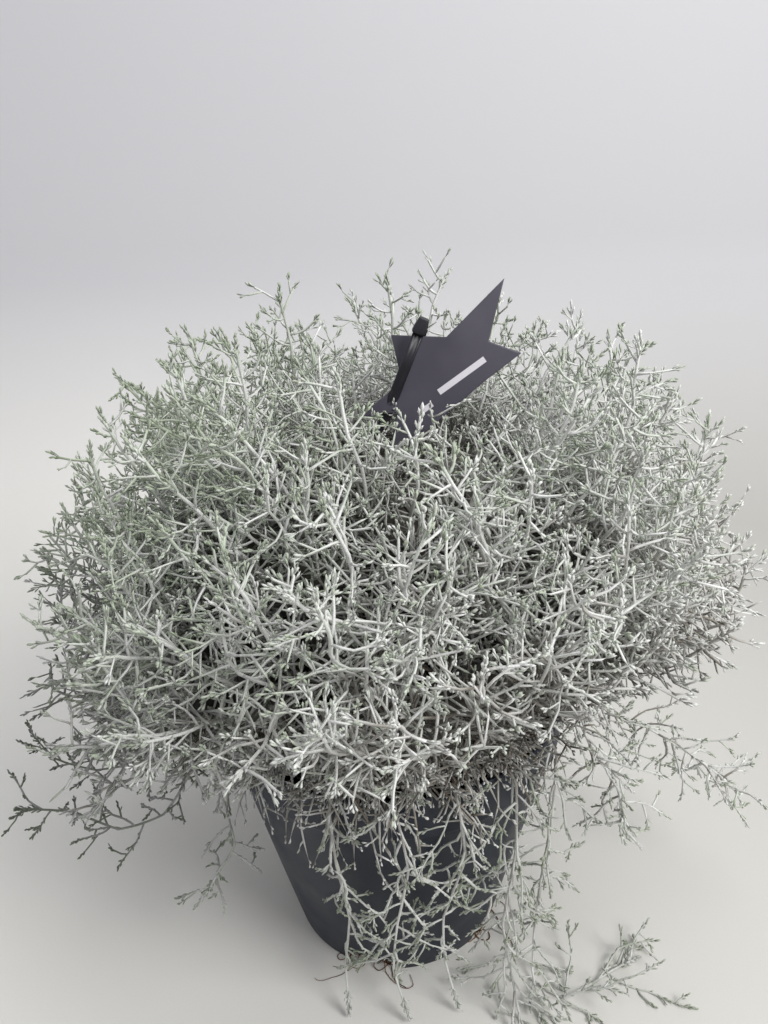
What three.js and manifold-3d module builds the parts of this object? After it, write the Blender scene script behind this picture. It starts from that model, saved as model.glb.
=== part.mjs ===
// A large cushion bush in a nursery pot: a dome of felted, wide-branched stems, its root ball, and a
// blank star-shaped tag on a stake. Millimetres, +Z up. The origin is the middle of the pot's underside,
// and the side that carries the long trailing stems faces -Y.

import * as THREE from 'three';
import { mergeVertices } from 'three/addons/utils/BufferGeometryUtils.js';
import Module from 'manifold-3d';

// Clearances
const TOUCH_GAP = 0.3; // between two pieces that rest on each other
const CROWN_GAP = 0.8; // on each side of the border between two leafy stems

// The pot
const POT_HEIGHT = 190;
const POT_RIM_RADIUS = 113.5;
const POT_BASE_RADIUS = 75;
const POT_BASE_ROUNDING = 2;
const POT_WALL = 2;
const POT_FLOOR = 3;
const POT_SIDES = 32;
const RIM_BAND_HEIGHT = 31;
const RIM_BAND_STEP = 2.5; // how far the band stands out from the wall under it
const RIM_BAND_TAPER = 2.5; // how much narrower the band is at its lower edge
const RIM_LIP = 2; // height of the rounding at the rim's top
const RIM_ROUNDING = 0.8;
const BAND_FOOT = POT_HEIGHT - RIM_BAND_HEIGHT;
const NOTCH_COUNT = 5;
const NOTCH_FIRST_DEG = -32;
const NOTCH_WIDTH = 40;
const NOTCH_HEIGHT = 13;
const NOTCH_INNER_RADIUS = 60;
const NOTCH_SHOULDER = 0.35; // height at which the arch begins, as a share of the notch's
const NOTCH_CROWN = 0.8; // how square the arch is

// The soil
const SOIL_TOP = 171.5;
const SOIL_ROUGHNESS = 5; // depth of the hollows in its surface
const SOIL_RINGS = 3;
const SOIL_SIDES = 24;
const SOIL_ROUNDNESS = Math.cos(Math.PI / SOIL_SIDES); // keeps its flat sides inside the pot's flat sides
const SOIL_FOOT_RADIUS = (POT_BASE_RADIUS - POT_WALL - TOUCH_GAP * 2) * SOIL_ROUNDNESS;
const STEM_DEPTH = 15; // how deep a stem stands in the soil
const STEM_START = 172; // height at which a stem begins to lean
const HOLE_OVERRUN = 20; // how far a hole's cutter stands above the soil
const CROWN_HOLE_GAP = 0.4;
const TRAIL_HOLE_GAP = 0.6;

// The dome
const CROWN_COUNT = 26; // leafy stems in the dome
const CROWN_SPREAD = THREE.MathUtils.degToRad(135); // from the top of the dome down to its lower edge
const SEED_SPREAD = THREE.MathUtils.degToRad(121); // down to the middles of the lowest stems
const CROWN_ROOT_RADIUS = 85; // of the ring in which the outermost stems stand
const DOME_RADIUS = 205;
const DOME_HEIGHT_UP = 172; // from the widest level up to the top
const DOME_HEIGHT_DOWN = 160; // from the widest level down, if the dome were closed
const DOME_MIDDLE = new THREE.Vector3(7, 0, 250);
const DOME_FULLNESS = { above: 0.78, below: 0.6 }; // powers below 1 keep it wide away from its widest level
// How far round the dome comes down. It comes down less at the two front corners than between them.
const REACH_DEG = { mean: 112, left: 12, back: 25, sides: 9, frontRight: 22, frontLeft: 10 };
const WAVES = [0.035, 0.03]; // unevenness of its surface, as shares of its radius
const BEND_AT = 0.42; // share of the way at which a stem's curve bends most
const ARCH_UP = 22; // how much the outermost stems arch up at the bend
const ARCH_OVER = 0.5; // and how much more for each millimetre that they end below the arch level
const ARCH_LEVEL = 270;
const STEM_RADIUS = 3; // where it leaves the soil
const CORE_SIDES = 7;
const CORE_LEVELS = [
  // share of the way from the soil to the surface of the dome, and share of the stem's own space
  [0.24, 0.36],
  [0.46, 0.72],
  [0.66, 0.96],
  [0.75, 0.6],
];
const CORE_TIP = 0.78;
const CORE_SHRINK = 0.07; // the most that a corner of the heart is drawn in
const OUTER_BUDS = [0, 1, 3, 4, 6]; // the faces of the heart that twigs grow from, counted round it
const INNER_BUDS = [2, 5];

// The twigs
const TWIG_REACH = [0.27, 0.38]; // how far it stands out of the heart, as a share of the way to the surface
const TWIG_RADIUS = 1.5;
const TUFT_RADIUS = 2.8;
const TUFT_LENGTH = 11;
const TUFT_WAIST = 0.45; // share of the tuft that lies past its widest place
const COLLAR_LENGTH = 3.2; // of the short stretch that a whorl of side shoots grows from
const COLLARS = [0.26, 0.48, 0.7]; // along the twig
const SIDE_SHOOT_LENGTH = [17, 30];
const UPWARD_PULL = 0.35; // how much a twig turns up, as a share of its length
const TWIG_TRIES = 6;
const TWIG_GAP = 0.8; // between two twigs of one stem
const ROOT_SKIP = 4; // length at a twig's root that may lie near what it grows from
const STEEPEST = 0.45; // least cosine between a twig or side shoot and the way its face looks
const SHOOT_LIFT = 0.03; // how far above the heart a side shoot ends, as a share of the way out

// The trailing stems. Each path is a list of [distance from the axis, height, turn in degrees], from
// the soil outwards. The turn is left out where it is none.
const TRAIL_SECTOR_DEG = 8; // half of the sector that a trailing stem keeps to
const TRAIL_ROOT_RADIUS = 97;
const TRAIL_RADIUS = 1.9;
const TRAIL_COLLAR_STEP = 19;
const OVER_THE_RIM = [[103, 184], [112, 195.5]];
const DOWN_THE_POT = [...OVER_THE_RIM, [121, 189], [123, 150], [113, 95], [104, 40], [112, 8]];
const ON_THE_FLOOR = [...OVER_THE_RIM, [122, 188], [126, 140], [122, 80], [122, 28], [134, 2.8], [160, 1.1]];
const ALONG_THE_FLOOR = [
  ...OVER_THE_RIM, [122, 188], [125, 140], [118, 80], [114, 28], [124, 2.8, -3], [146, 1.1, -2],
  [164, 1.1, 7], [176, 1.1, 15],
];
const HANGING_SHORT = [...OVER_THE_RIM, [122, 186], [136, 162], [149, 138], [157, 104]];
const HANGING_OUT = [...OVER_THE_RIM, [125, 178], [149, 148], [178, 130], [215, 110], [245, 80]];
const HANGING_BACK = [...OVER_THE_RIM, [121, 187], [123, 150], [121, 110], [143, 73]];
const LONG_AND_LEVEL = [
  ...OVER_THE_RIM, [126, 172], [148, 118], [182, 92], [221, 92], [252, 101], [280, 104],
];
const LONG_AND_RISING = [
  ...OVER_THE_RIM, [125, 178], [138, 134], [158, 108], [186, 114], [212, 124], [244, 131],
];
const SHORT_AND_LOW = [...OVER_THE_RIM, [124, 180], [134, 120], [150, 66], [166, 24]];
const TRAILS = [
  { deg: -150, path: HANGING_BACK },
  { deg: -107, path: DOWN_THE_POT },
  { deg: -90, path: DOWN_THE_POT },
  { deg: -74, path: DOWN_THE_POT },
  { deg: -57, path: ON_THE_FLOOR },
  { deg: -40, path: ALONG_THE_FLOOR },
  { deg: -22, path: HANGING_SHORT },
  { deg: 0, path: HANGING_OUT },
  { deg: 60, path: SHORT_AND_LOW },
  { deg: 120, path: SHORT_AND_LOW },
  { deg: 172, path: LONG_AND_LEVEL },
  { deg: 194, path: LONG_AND_RISING },
];

// The tag and its stake. The outline is in the tag's own plane, from its middle.
const TAG_OUTLINE = [
  [35, 52], [26, 19], [44, 12], [23, -3], [-31, -47], [-25, -18], [-46, -20], [-22, -1], [-27, 24], [3, 22],
];
const TAG_THICKNESS = 0.9;
const TAG_MIDDLE = new THREE.Vector3(33, -4, 390);
const TAG_LEAN = THREE.MathUtils.degToRad(14); // backwards
const STAKE_WIDTH = 6;
const STAKE_THICKNESS = 2.4;
const STAKE_TOP = new THREE.Vector3(22, -8.5, 420);
const STAKE_FOOT = new THREE.Vector3(-82, 8, 158);
const STAKE_HEAD = [8, 9, 5]; // width, height and thickness of the clip head
const TAG_CLEARING = 1.2; // between the tag and the twigs round it

// The roots that come out at the base
const ROOT_RADIUS = 0.9;
const ROOT_STEPS = 5;
const ROOT_STEP = 5.5;
const ROOT_LOWEST = 1.1; // height of its middle where it lies on the floor
const ROOT_RUNS = [
  { name: 'roots_front', notch: 4, spread: 20, count: 3 },
  { name: 'roots_right', notch: 0, spread: 12, count: 2 },
];

// Colours
const MATERIALS = {
  pot: { color: 0x3f4652, roughness: 0.55, metalness: 0 },
  soil: { color: 0x2f251e, roughness: 0.95, metalness: 0 },
  leaf: { color: 0xb9c2b2, roughness: 0.9, metalness: 0 },
  root: { color: 0x6b4a2c, roughness: 0.85, metalness: 0 },
  tag: { color: 0x4a434f, roughness: 0.5, metalness: 0 },
  stake: { color: 0x24232a, roughness: 0.4, metalness: 0 },
};

const wasm = await Module();
wasm.setup();
const UP = new THREE.Vector3(0, 0, 1);

// A repeatable stream of numbers from 0 to 1.
function seeded(seed) {
  let state = seed >>> 0;
  return () => {
    state = (state + 0x6d2b79f5) >>> 0;
    let t = Math.imul(state ^ (state >>> 15), 1 | state);
    t = (t + Math.imul(t ^ (t >>> 7), 61 | t)) ^ t;
    return ((t ^ (t >>> 14)) >>> 0) / 4294967296;
  };
}

function between(random, [low, high]) {
  return low + (high - low) * random();
}

// A closed geometry as a solid.
function toSolid(geometry) {
  const bare = geometry.index ? geometry.toNonIndexed() : geometry.clone();
  bare.deleteAttribute('normal');
  bare.deleteAttribute('uv');
  const merged = mergeVertices(bare, 1e-4);
  return new wasm.Manifold(new wasm.Mesh({
    numProp: 3,
    vertProperties: new Float32Array(merged.attributes.position.array),
    triVerts: new Uint32Array(merged.index.array),
  }));
}

// A solid as a geometry.
function toGeometry(solid) {
  const mesh = solid.getMesh();
  const geometry = new THREE.BufferGeometry();
  geometry.setAttribute('position', new THREE.BufferAttribute(new Float32Array(mesh.vertProperties), 3));
  geometry.setIndex(new THREE.BufferAttribute(new Uint32Array(mesh.triVerts), 1));
  return geometry;
}

// The largest of a solid's separate bodies, without slivers or sealed hollows.
function largestBody(solid, tolerance = 0.03) {
  const bodies = solid.simplify(tolerance).decompose().filter((body) => body.volume() > 0);
  return bodies.reduce((best, body) => (body.volume() > best.volume() ? body : best));
}

function part(name, solid, finish) {
  const mesh = new THREE.Mesh(toGeometry(solid), new THREE.MeshStandardMaterial(MATERIALS[finish]));
  mesh.name = name;
  return mesh;
}

// A closed skin through rings of equal length. Each end is a ring, closed flat, or a single point.
function loft(rings) {
  const points = [];
  const starts = [];
  for (const ring of rings) {
    starts.push(points.length);
    points.push(...ring);
  }
  const faces = [];
  const last = rings.length - 1;
  for (let j = 0; j < last; j += 1) {
    const [a, b] = [rings[j], rings[j + 1]];
    const count = Math.max(a.length, b.length);
    for (let k = 0; k < count; k += 1) {
      const next = (k + 1) % count;
      if (b.length === 1) faces.push([starts[j] + k, starts[j] + next, starts[j + 1]]);
      else if (a.length === 1) faces.push([starts[j], starts[j + 1] + next, starts[j + 1] + k]);
      else {
        faces.push([starts[j] + k, starts[j] + next, starts[j + 1] + next]);
        faces.push([starts[j] + k, starts[j + 1] + next, starts[j + 1] + k]);
      }
    }
  }
  for (let k = 1; k + 1 < rings[0].length; k += 1) faces.push([starts[0], starts[0] + k + 1, starts[0] + k]);
  for (let k = 1; k + 1 < rings[last].length; k += 1) {
    faces.push([starts[last], starts[last] + k, starts[last] + k + 1]);
  }
  const geometry = new THREE.BufferGeometry().setFromPoints(points);
  geometry.setIndex(faces.flat());
  return geometry;
}

// A ring of points round a place, across a direction.
function ringAcross(place, direction, radius, sides, turn = 0) {
  const steep = Math.abs(direction.z) > 0.9;
  const helper = steep ? new THREE.Vector3(1, 0, 0) : UP;
  const side = new THREE.Vector3().crossVectors(direction, helper).normalize();
  const other = new THREE.Vector3().crossVectors(direction, side).normalize();
  const ring = [];
  for (let k = 0; k < sides; k += 1) {
    const angle = turn + (k / sides) * Math.PI * 2;
    const out = side.clone().multiplyScalar(Math.cos(angle)).addScaledVector(other, Math.sin(angle));
    ring.push(place.clone().addScaledVector(out, radius));
  }
  return ring;
}

// A stick through a list of places, with a radius at each. A radius of 0 makes a point.
function stick(places, radii, sides = 3, turn = 0) {
  const rings = places.map((place, i) => {
    if (radii[i] === 0) return [place.clone()];
    const before = places[Math.max(0, i - 1)];
    const after = places[Math.min(places.length - 1, i + 1)];
    const direction = new THREE.Vector3().subVectors(after, before).normalize();
    return ringAcross(place, direction, radii[i], sides, turn);
  });
  return toSolid(loft(rings));
}

// A closed skin that twigs grow out of, face by face, so that they are one body with it.
class Skin {
  constructor() {
    this.points = [];
    this.faces = [];
    this.sticks = []; // what has grown so far, as [from, to, radius]
  }

  add(points) {
    points.forEach((point) => this.points.push(point));
    return points.map((_, i) => this.points.length - points.length + i);
  }

  // The faces between two rings, in pairs, one pair for each side.
  bridge(a, b) {
    const made = [];
    for (let k = 0; k < a.length; k += 1) {
      const next = (k + 1) % a.length;
      made.push([[a[k], a[next], b[next]], [a[k], b[next], b[k]]]);
    }
    this.faces.push(...made.flat());
    return made;
  }

  // The faces from a ring to a point.
  close(ring, point) {
    const [tip] = this.add([point]);
    const made = ring.map((index, k) => [index, ring[(k + 1) % ring.length], tip]);
    this.faces.push(...made);
    return made;
  }

  corners(face) {
    return face.map((index) => this.points[index]);
  }

  normal(face) {
    const [a, b, c] = this.corners(face);
    return new THREE.Vector3().subVectors(b, a).cross(new THREE.Vector3().subVectors(c, a)).normalize();
  }

  middle(face) {
    const [a, b, c] = this.corners(face);
    return a.clone().add(b).add(c).divideScalar(3);
  }

  drop(face) {
    this.faces.splice(this.faces.indexOf(face), 1);
  }

  // Raises a face to a point.
  raise(face, tip) {
    this.drop(face);
    this.close(face, tip);
  }

  // Cuts a small triangle into a face and returns its ring, from which a twig can go on.
  open(face, place, radius) {
    const inner = this.add(this.corners(face).map((corner) => (
      new THREE.Vector3().subVectors(corner, place).setLength(radius).add(place))));
    this.drop(face);
    this.bridge(face, inner);
    return inner;
  }

  // Carries a ring on to a place, across a direction.
  carry(ring, from, to, direction, radius) {
    return this.add(this.corners(ring).map((corner) => {
      const out = new THREE.Vector3().subVectors(corner, from);
      return out.addScaledVector(direction, -out.dot(direction)).setLength(radius).add(to);
    }));
  }

  // Whether a stick stays clear of what has grown, apart from what it grows from.
  isClear(from, to, radius, own) {
    const roomy = this.sticks.every((other) => other === own || (
      gapBetween(from, to, other.from, other.to) > radius + other.radius + TWIG_GAP));
    return roomy && !this.isPierced(from, to, radius);
  }

  // Whether a stick goes through a face, looked at along its middle and along lines round it.
  isPierced(from, to, radius) {
    const length = to.distanceTo(from);
    const direction = new THREE.Vector3().subVectors(to, from).divideScalar(length);
    const start = from.clone().addScaledVector(direction, ROOT_SKIP);
    const lines = [start, ...ringAcross(start, direction, radius, 6)];
    const hit = new THREE.Vector3();
    return lines.some((line) => {
      const ray = new THREE.Ray(line, direction);
      return this.faces.some((face) => {
        const [a, b, c] = this.corners(face);
        return ray.intersectTriangle(a, b, c, false, hit) && hit.distanceTo(line) < length - ROOT_SKIP;
      });
    });
  }

  geometry() {
    const geometry = new THREE.BufferGeometry().setFromPoints(this.points);
    geometry.setIndex(this.faces.flat());
    return geometry;
  }
}

// The least distance between two straight stretches.
function gapBetween(a, b, c, d) {
  const steps = 16;
  let least = Infinity;
  const nearest = new THREE.Vector3();
  const line = new THREE.Line3(c, d);
  for (let i = 0; i <= steps; i += 1) {
    const point = new THREE.Vector3().lerpVectors(a, b, i / steps);
    line.closestPointToPoint(point, true, nearest);
    least = Math.min(least, point.distanceTo(nearest));
  }
  return least;
}

// The pot's outer radius at a height.
function potRadius(height) {
  const bandRadius = POT_RIM_RADIUS - RIM_BAND_TAPER;
  const wallTop = bandRadius - RIM_BAND_STEP;
  const share = Math.max(0, height) / BAND_FOOT;
  if (share < 1) return THREE.MathUtils.lerp(POT_BASE_RADIUS, wallTop, share);
  return THREE.MathUtils.lerp(bandRadius, POT_RIM_RADIUS, (height - BAND_FOOT) / RIM_BAND_HEIGHT);
}

// The moulded shell, with a notch at each drain hole.
function makePot() {
  const wallTop = POT_RIM_RADIUS - RIM_BAND_TAPER - RIM_BAND_STEP;
  const lipFoot = POT_HEIGHT - RIM_LIP;
  const profile = [
    [0, 0],
    [POT_BASE_RADIUS - POT_BASE_ROUNDING, 0],
    [potRadius(POT_BASE_ROUNDING), POT_BASE_ROUNDING],
    [wallTop, BAND_FOOT - 1],
    [potRadius(BAND_FOOT), BAND_FOOT + 1],
    [potRadius(lipFoot), lipFoot],
    [POT_RIM_RADIUS - RIM_ROUNDING, POT_HEIGHT],
    [POT_RIM_RADIUS - POT_WALL, POT_HEIGHT],
    [POT_RIM_RADIUS - POT_WALL - 1, lipFoot],
    [potRadius(BAND_FOOT) - POT_WALL, BAND_FOOT + 3],
    [wallTop - POT_WALL, BAND_FOOT - 3],
    [POT_BASE_RADIUS - POT_WALL, POT_FLOOR],
    [0, POT_FLOOR],
  ];
  const shell = new THREE.LatheGeometry(profile.map(([r, z]) => new THREE.Vector2(r, z)), POT_SIDES);
  shell.rotateX(Math.PI / 2);
  return toSolid(shell).subtract(wasm.Manifold.union(notchCutters())).simplify(0.01);
}

// One arch-topped block through the wall and the edge of the floor for each notch.
function notchCutters() {
  const half = NOTCH_WIDTH / 2;
  const below = -5;
  const shoulder = NOTCH_HEIGHT * NOTCH_SHOULDER;
  const arch = new THREE.Shape();
  arch.moveTo(-half, below);
  arch.lineTo(half, below);
  arch.lineTo(half, shoulder);
  arch.quadraticCurveTo(half * NOTCH_CROWN, NOTCH_HEIGHT, 0, NOTCH_HEIGHT);
  arch.quadraticCurveTo(-half * NOTCH_CROWN, NOTCH_HEIGHT, -half, shoulder);
  arch.closePath();
  const cutters = [];
  for (let k = 0; k < NOTCH_COUNT; k += 1) {
    const depth = POT_RIM_RADIUS - NOTCH_INNER_RADIUS;
    const block = new THREE.ExtrudeGeometry(arch, { depth, bevelEnabled: false, curveSegments: 4 });
    block.rotateX(Math.PI / 2);
    block.rotateZ(Math.PI);
    block.translate(0, NOTCH_INNER_RADIUS, 0);
    block.rotateZ(THREE.MathUtils.degToRad(NOTCH_FIRST_DEG + (360 / NOTCH_COUNT) * k - 90));
    cutters.push(toSolid(block));
  }
  return cutters;
}

// The root ball: it fills the pot and has a rough top.
function makeSoil(holes) {
  const random = seeded(11);
  const inner = (height) => potRadius(height) - POT_WALL - TOUCH_GAP;
  const bottom = POT_FLOOR + TOUCH_GAP;
  const ringAt = (radius, height, rough) => {
    const ring = [];
    for (let k = 0; k < SOIL_SIDES; k += 1) {
      const angle = (k / SOIL_SIDES) * Math.PI * 2;
      const z = height - rough * SOIL_ROUGHNESS * random();
      ring.push(new THREE.Vector3(radius * Math.cos(angle), radius * Math.sin(angle), z));
    }
    return ring;
  };
  const topRadius = (inner(BAND_FOOT - 3) - 1) * SOIL_ROUNDNESS;
  const rings = [
    ringAt(SOIL_FOOT_RADIUS, bottom, 0),
    ringAt(topRadius, BAND_FOOT - 5, 0),
  ];
  for (let j = 0; j < SOIL_RINGS; j += 1) {
    const radius = topRadius * (1 - j / SOIL_RINGS);
    rings.push(ringAt(radius, SOIL_TOP - (j === 0 ? 3 : 0), 1));
  }
  rings.push([new THREE.Vector3(0, 0, SOIL_TOP)]);
  return largestBody(toSolid(loft(rings)).subtract(wasm.Manifold.union(holes)), 0.01);
}

// The seeds of the leafy stems, evenly spread over the dome as directions from its middle.
function crownSeeds() {
  const seeds = [];
  for (let i = 0; i < CROWN_COUNT; i += 1) {
    const angle = Math.acos(1 - ((i + 0.5) / CROWN_COUNT) * (1 - Math.cos(SEED_SPREAD)));
    const turn = i * Math.PI * (3 - Math.sqrt(5));
    seeds.push(polar(Math.sin(angle), turn, Math.cos(angle)));
  }
  return seeds;
}

// How far round the dome reaches at an azimuth: least at the front, where the pot's rim shows, and
// furthest at the back and the left.
function crownReach(azimuth) {
  const toLeft = -REACH_DEG.left * Math.cos(azimuth);
  const toBack = REACH_DEG.back * Math.sin(azimuth);
  const toSides = REACH_DEG.sides * Math.cos(2 * azimuth);
  const corner = Math.max(0, -Math.sin(azimuth)) * Math.cos(azimuth);
  const atCorner = -Math.max(corner * REACH_DEG.frontRight, -corner * REACH_DEG.frontLeft);
  return THREE.MathUtils.degToRad(REACH_DEG.mean + toLeft + toBack + toSides + atCorner);
}

// The surface of the dome, a little uneven.
function domePoint(angle, azimuth) {
  const sine = Math.sin(angle);
  const below = angle > Math.PI / 2;
  const across = DOME_RADIUS * sine ** (below ? DOME_FULLNESS.below : DOME_FULLNESS.above);
  const wave = WAVES[0] * Math.sin(3 * azimuth + 0.6) + WAVES[1] * Math.sin(5 * angle + 2 * azimuth);
  const uneven = 1 + wave * sine;
  const up = Math.cos(angle) * (below ? DOME_HEIGHT_DOWN : DOME_HEIGHT_UP);
  return new THREE.Vector3(
    DOME_MIDDLE.x + across * uneven * Math.cos(azimuth),
    DOME_MIDDLE.y + across * uneven * Math.sin(azimuth),
    DOME_MIDDLE.z + up,
  );
}

// A place in the crown. Stems run from the soil (share 0) in curves that never cross to the surface of
// the dome (share 1), and further past it.
function crownPoint(direction, share) {
  const angle = Math.min(Math.acos(THREE.MathUtils.clamp(direction.z, -1, 1)), CROWN_SPREAD);
  const azimuth = Math.atan2(direction.y, direction.x);
  const edge = angle / CROWN_SPREAD;
  const start = new THREE.Vector3(
    CROWN_ROOT_RADIUS * edge * Math.cos(azimuth),
    CROWN_ROOT_RADIUS * edge * Math.sin(azimuth),
    STEM_START,
  );
  const end = domePoint(edge * crownReach(azimuth), azimuth);
  const lift = ARCH_UP * edge ** 2 + ARCH_OVER * Math.max(0, ARCH_LEVEL - end.z) * edge;
  const bend = new THREE.Vector3().lerpVectors(start, end, BEND_AT);
  bend.z = (start.z + end.z) / 2 + lift;
  const curve = new THREE.QuadraticBezierCurve3(start, bend, end);
  if (share <= 1) return curve.getPoint(share);
  const outwards = new THREE.Vector3().subVectors(end, DOME_MIDDLE).normalize();
  return end.addScaledVector(outwards, (share - 1) * DOME_RADIUS);
}

// The direction reached from one direction by turning through an angle along a bearing.
function turned(direction, bearing, angle) {
  const east = new THREE.Vector3().crossVectors(UP, direction);
  if (east.lengthSq() < 1e-9) east.set(1, 0, 0);
  east.normalize();
  const north = new THREE.Vector3().crossVectors(direction, east);
  const way = east.multiplyScalar(Math.cos(bearing)).addScaledVector(north, Math.sin(bearing));
  return direction.clone().multiplyScalar(Math.cos(angle)).addScaledVector(way, Math.sin(angle)).normalize();
}

// How far inside its own space a direction lies, as an angle. Below 0 it lies in a neighbour's.
function roomAt(direction, own, seeds) {
  const mine = direction.angleTo(seeds[own]);
  let room = CROWN_SPREAD - Math.acos(THREE.MathUtils.clamp(direction.z, -1, 1));
  seeds.forEach((seed, i) => {
    if (i !== own) room = Math.min(room, (direction.angleTo(seed) - mine) / 2);
  });
  return room;
}

// How far a stem's space reaches along a bearing.
function reachAlong(own, bearing, seeds, margin) {
  const halvings = 24;
  let [low, high] = [0, 1];
  for (let n = 0; n < halvings; n += 1) {
    const middle = (low + high) / 2;
    if (roomAt(turned(seeds[own], bearing, middle), own, seeds) > margin) low = middle;
    else high = middle;
  }
  return low;
}

// How many millimetres one radian of direction is across the crown at a share of the way out.
function spanAt(direction, share) {
  const step = 0.02;
  const here = crownPoint(direction, share);
  const east = crownPoint(turned(direction, 0, step), share).distanceTo(here);
  const north = crownPoint(turned(direction, Math.PI / 2, -step), share).distanceTo(here);
  return Math.min(east, north) / step;
}

// The direction and share at a small displacement from a place in the crown.
function stepFrom(direction, share, displacement) {
  const h = 0.01;
  const here = crownPoint(direction, share);
  const column = (place) => place.sub(here).divideScalar(h);
  const east = column(crownPoint(turned(direction, 0, h), share));
  const north = column(crownPoint(turned(direction, Math.PI / 2, h), share));
  const out = column(crownPoint(direction, share + h));
  const matrix = new THREE.Matrix3().set(
    east.x, north.x, out.x, east.y, north.y, out.y, east.z, north.z, out.z,
  ).invert();
  const step = displacement.clone().applyMatrix3(matrix);
  return {
    way: turned(direction, Math.atan2(step.y, step.x), Math.hypot(step.x, step.y)),
    share: share + step.z,
  };
}

// One leafy stem of the dome: a stem out of the soil, the dense heart that it grows into, and the twigs
// that stand out of it.
function makeCrownStem(own, seeds) {
  const random = seeded(100 + own);
  const seed = seeds[own];
  const foot = crownPoint(seed, 0);
  const footRing = (height, radius) => {
    const ring = [];
    for (let k = 0; k < CORE_SIDES; k += 1) {
      const place = crownPoint(turned(seed, (k / CORE_SIDES) * Math.PI * 2, 0.05), 0).sub(foot);
      ring.push(place.setZ(0).setLength(radius).add(foot).setZ(height));
    }
    return ring;
  };
  const skin = new Skin();
  const footHeight = STEM_START - STEM_DEPTH + TOUCH_GAP;
  let below = skin.add(footRing(footHeight, STEM_RADIUS));
  for (let k = 1; k + 1 < below.length; k += 1) skin.faces.push([below[0], below[k + 1], below[k]]);
  const startRing = skin.add(footRing(STEM_START, STEM_RADIUS));
  skin.bridge(below, startRing);
  below = startRing;
  let ways = [];
  const buds = []; // the outward faces, with the direction and share of each one's middle
  CORE_LEVELS.forEach(([share, fill], level) => {
    const newWays = [];
    for (let k = 0; k < CORE_SIDES; k += 1) {
      const bearing = (k / CORE_SIDES) * Math.PI * 2;
      const reach = reachAlong(own, bearing, seeds, CROWN_GAP / spanAt(seed, share));
      newWays.push(turned(seed, bearing, reach * fill * (1 - CORE_SHRINK * random())));
    }
    const ring = skin.add(newWays.map((way) => crownPoint(way, share)));
    const made = skin.bridge(below, ring);
    if (level === CORE_LEVELS.length - 1) {
      const shareBelow = CORE_LEVELS[level - 1][0];
      OUTER_BUDS.forEach((k) => {
        const [face] = made[k];
        const next = (k + 1) % CORE_SIDES;
        const way = ways[k].clone().add(ways[next]).add(newWays[next]).normalize();
        buds.push({ face, way, share: (2 * shareBelow + share) / 3 });
      });
    }
    [below, ways] = [ring, newWays];
  });
  const lastShare = CORE_LEVELS[CORE_LEVELS.length - 1][0];
  const cap = skin.close(below, crownPoint(seed, CORE_TIP));
  INNER_BUDS.forEach((k) => {
    const face = cap[k];
    const way = ways[k].clone().add(ways[(k + 1) % CORE_SIDES]).add(seed).normalize();
    buds.push({ face, way, share: (2 * lastShare + CORE_TIP) / 3 });
  });
  const span = spanAt(seed, 1);
  buds.forEach((bud) => growTwig(skin, bud, own, seeds, span, random));
  const holeRadius = STEM_RADIUS + CROWN_HOLE_GAP;
  const hole = loft([
    footRing(STEM_START - STEM_DEPTH, holeRadius),
    footRing(STEM_START + HOLE_OVERRUN, holeRadius),
  ]);
  return { solid: toSolid(skin.geometry()), hole: toSolid(hole) };
}

// Where a twig can end without leaving its stem's own space or touching another twig, or nothing.
function twigTip(skin, root, bud, own, seeds, margin, random) {
  const looks = skin.normal(bud.face);
  for (let attempt = 0; attempt < TWIG_TRIES; attempt += 1) {
    const out = between(random, TWIG_REACH) * (1 - 0.07 * attempt);
    const straight = crownPoint(bud.way, bud.share + out).sub(crownPoint(bud.way, bud.share));
    const pull = new THREE.Vector3(random() - 0.5, random() - 0.5, UPWARD_PULL + 0.3 * random());
    const aim = straight.clone().addScaledVector(pull, straight.length() * 0.6 * (1 - attempt / TWIG_TRIES));
    const end = withinSpace(bud.way, bud.share, aim, own, seeds, margin);
    if (!end) continue;
    const tip = crownPoint(end.way, end.share);
    const way = new THREE.Vector3().subVectors(tip, root).normalize();
    if (way.dot(looks) < STEEPEST) continue;
    const start = root.clone().addScaledVector(way, ROOT_SKIP);
    if (skin.isClear(start, tip, TUFT_RADIUS, null)) return { ...end, tip };
  }
  return null;
}

// A twig out of one face of the heart, with whorls of side shoots and a tuft at its end.
function growTwig(skin, bud, own, seeds, span, random) {
  const root = skin.middle(bud.face);
  const margin = (TUFT_RADIUS + CROWN_GAP) / span;
  const tipAt = twigTip(skin, root, bud, own, seeds, margin, random);
  if (!tipAt) return;
  const { tip } = tipAt;
  const direction = new THREE.Vector3().subVectors(tip, root);
  const length = direction.length();
  direction.normalize();
  const trunk = { from: root, to: tip, radius: TWIG_RADIUS };
  skin.sticks.push(trunk);
  let ring = skin.open(bud.face, root, TWIG_RADIUS * 1.3);
  let place = root;
  const go = (distance, radius) => {
    const next = root.clone().addScaledVector(direction, distance);
    const ahead = skin.carry(ring, place, next, direction, radius);
    const faces = skin.bridge(ring, ahead);
    [ring, place] = [ahead, next];
    return faces;
  };
  const waist = length - TUFT_LENGTH * TUFT_WAIST;
  COLLARS.forEach((share, c) => {
    if (length * share + 2 * COLLAR_LENGTH > waist) return;
    go(length * share, TWIG_RADIUS * (1 - 0.15 * c));
    const collar = go(length * share + COLLAR_LENGTH, TWIG_RADIUS * (1 - 0.15 * c));
    const here = {
      way: bud.way.clone().lerp(tipAt.way, share).normalize(),
      share: THREE.MathUtils.lerp(bud.share, tipAt.share, share),
    };
    collar.forEach((pair) => {
      growShoot(skin, pair[c % 2], here, direction, trunk, own, seeds, margin, random);
    });
  });
  go(waist, TUFT_RADIUS);
  skin.close(ring, tip);
}

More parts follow.
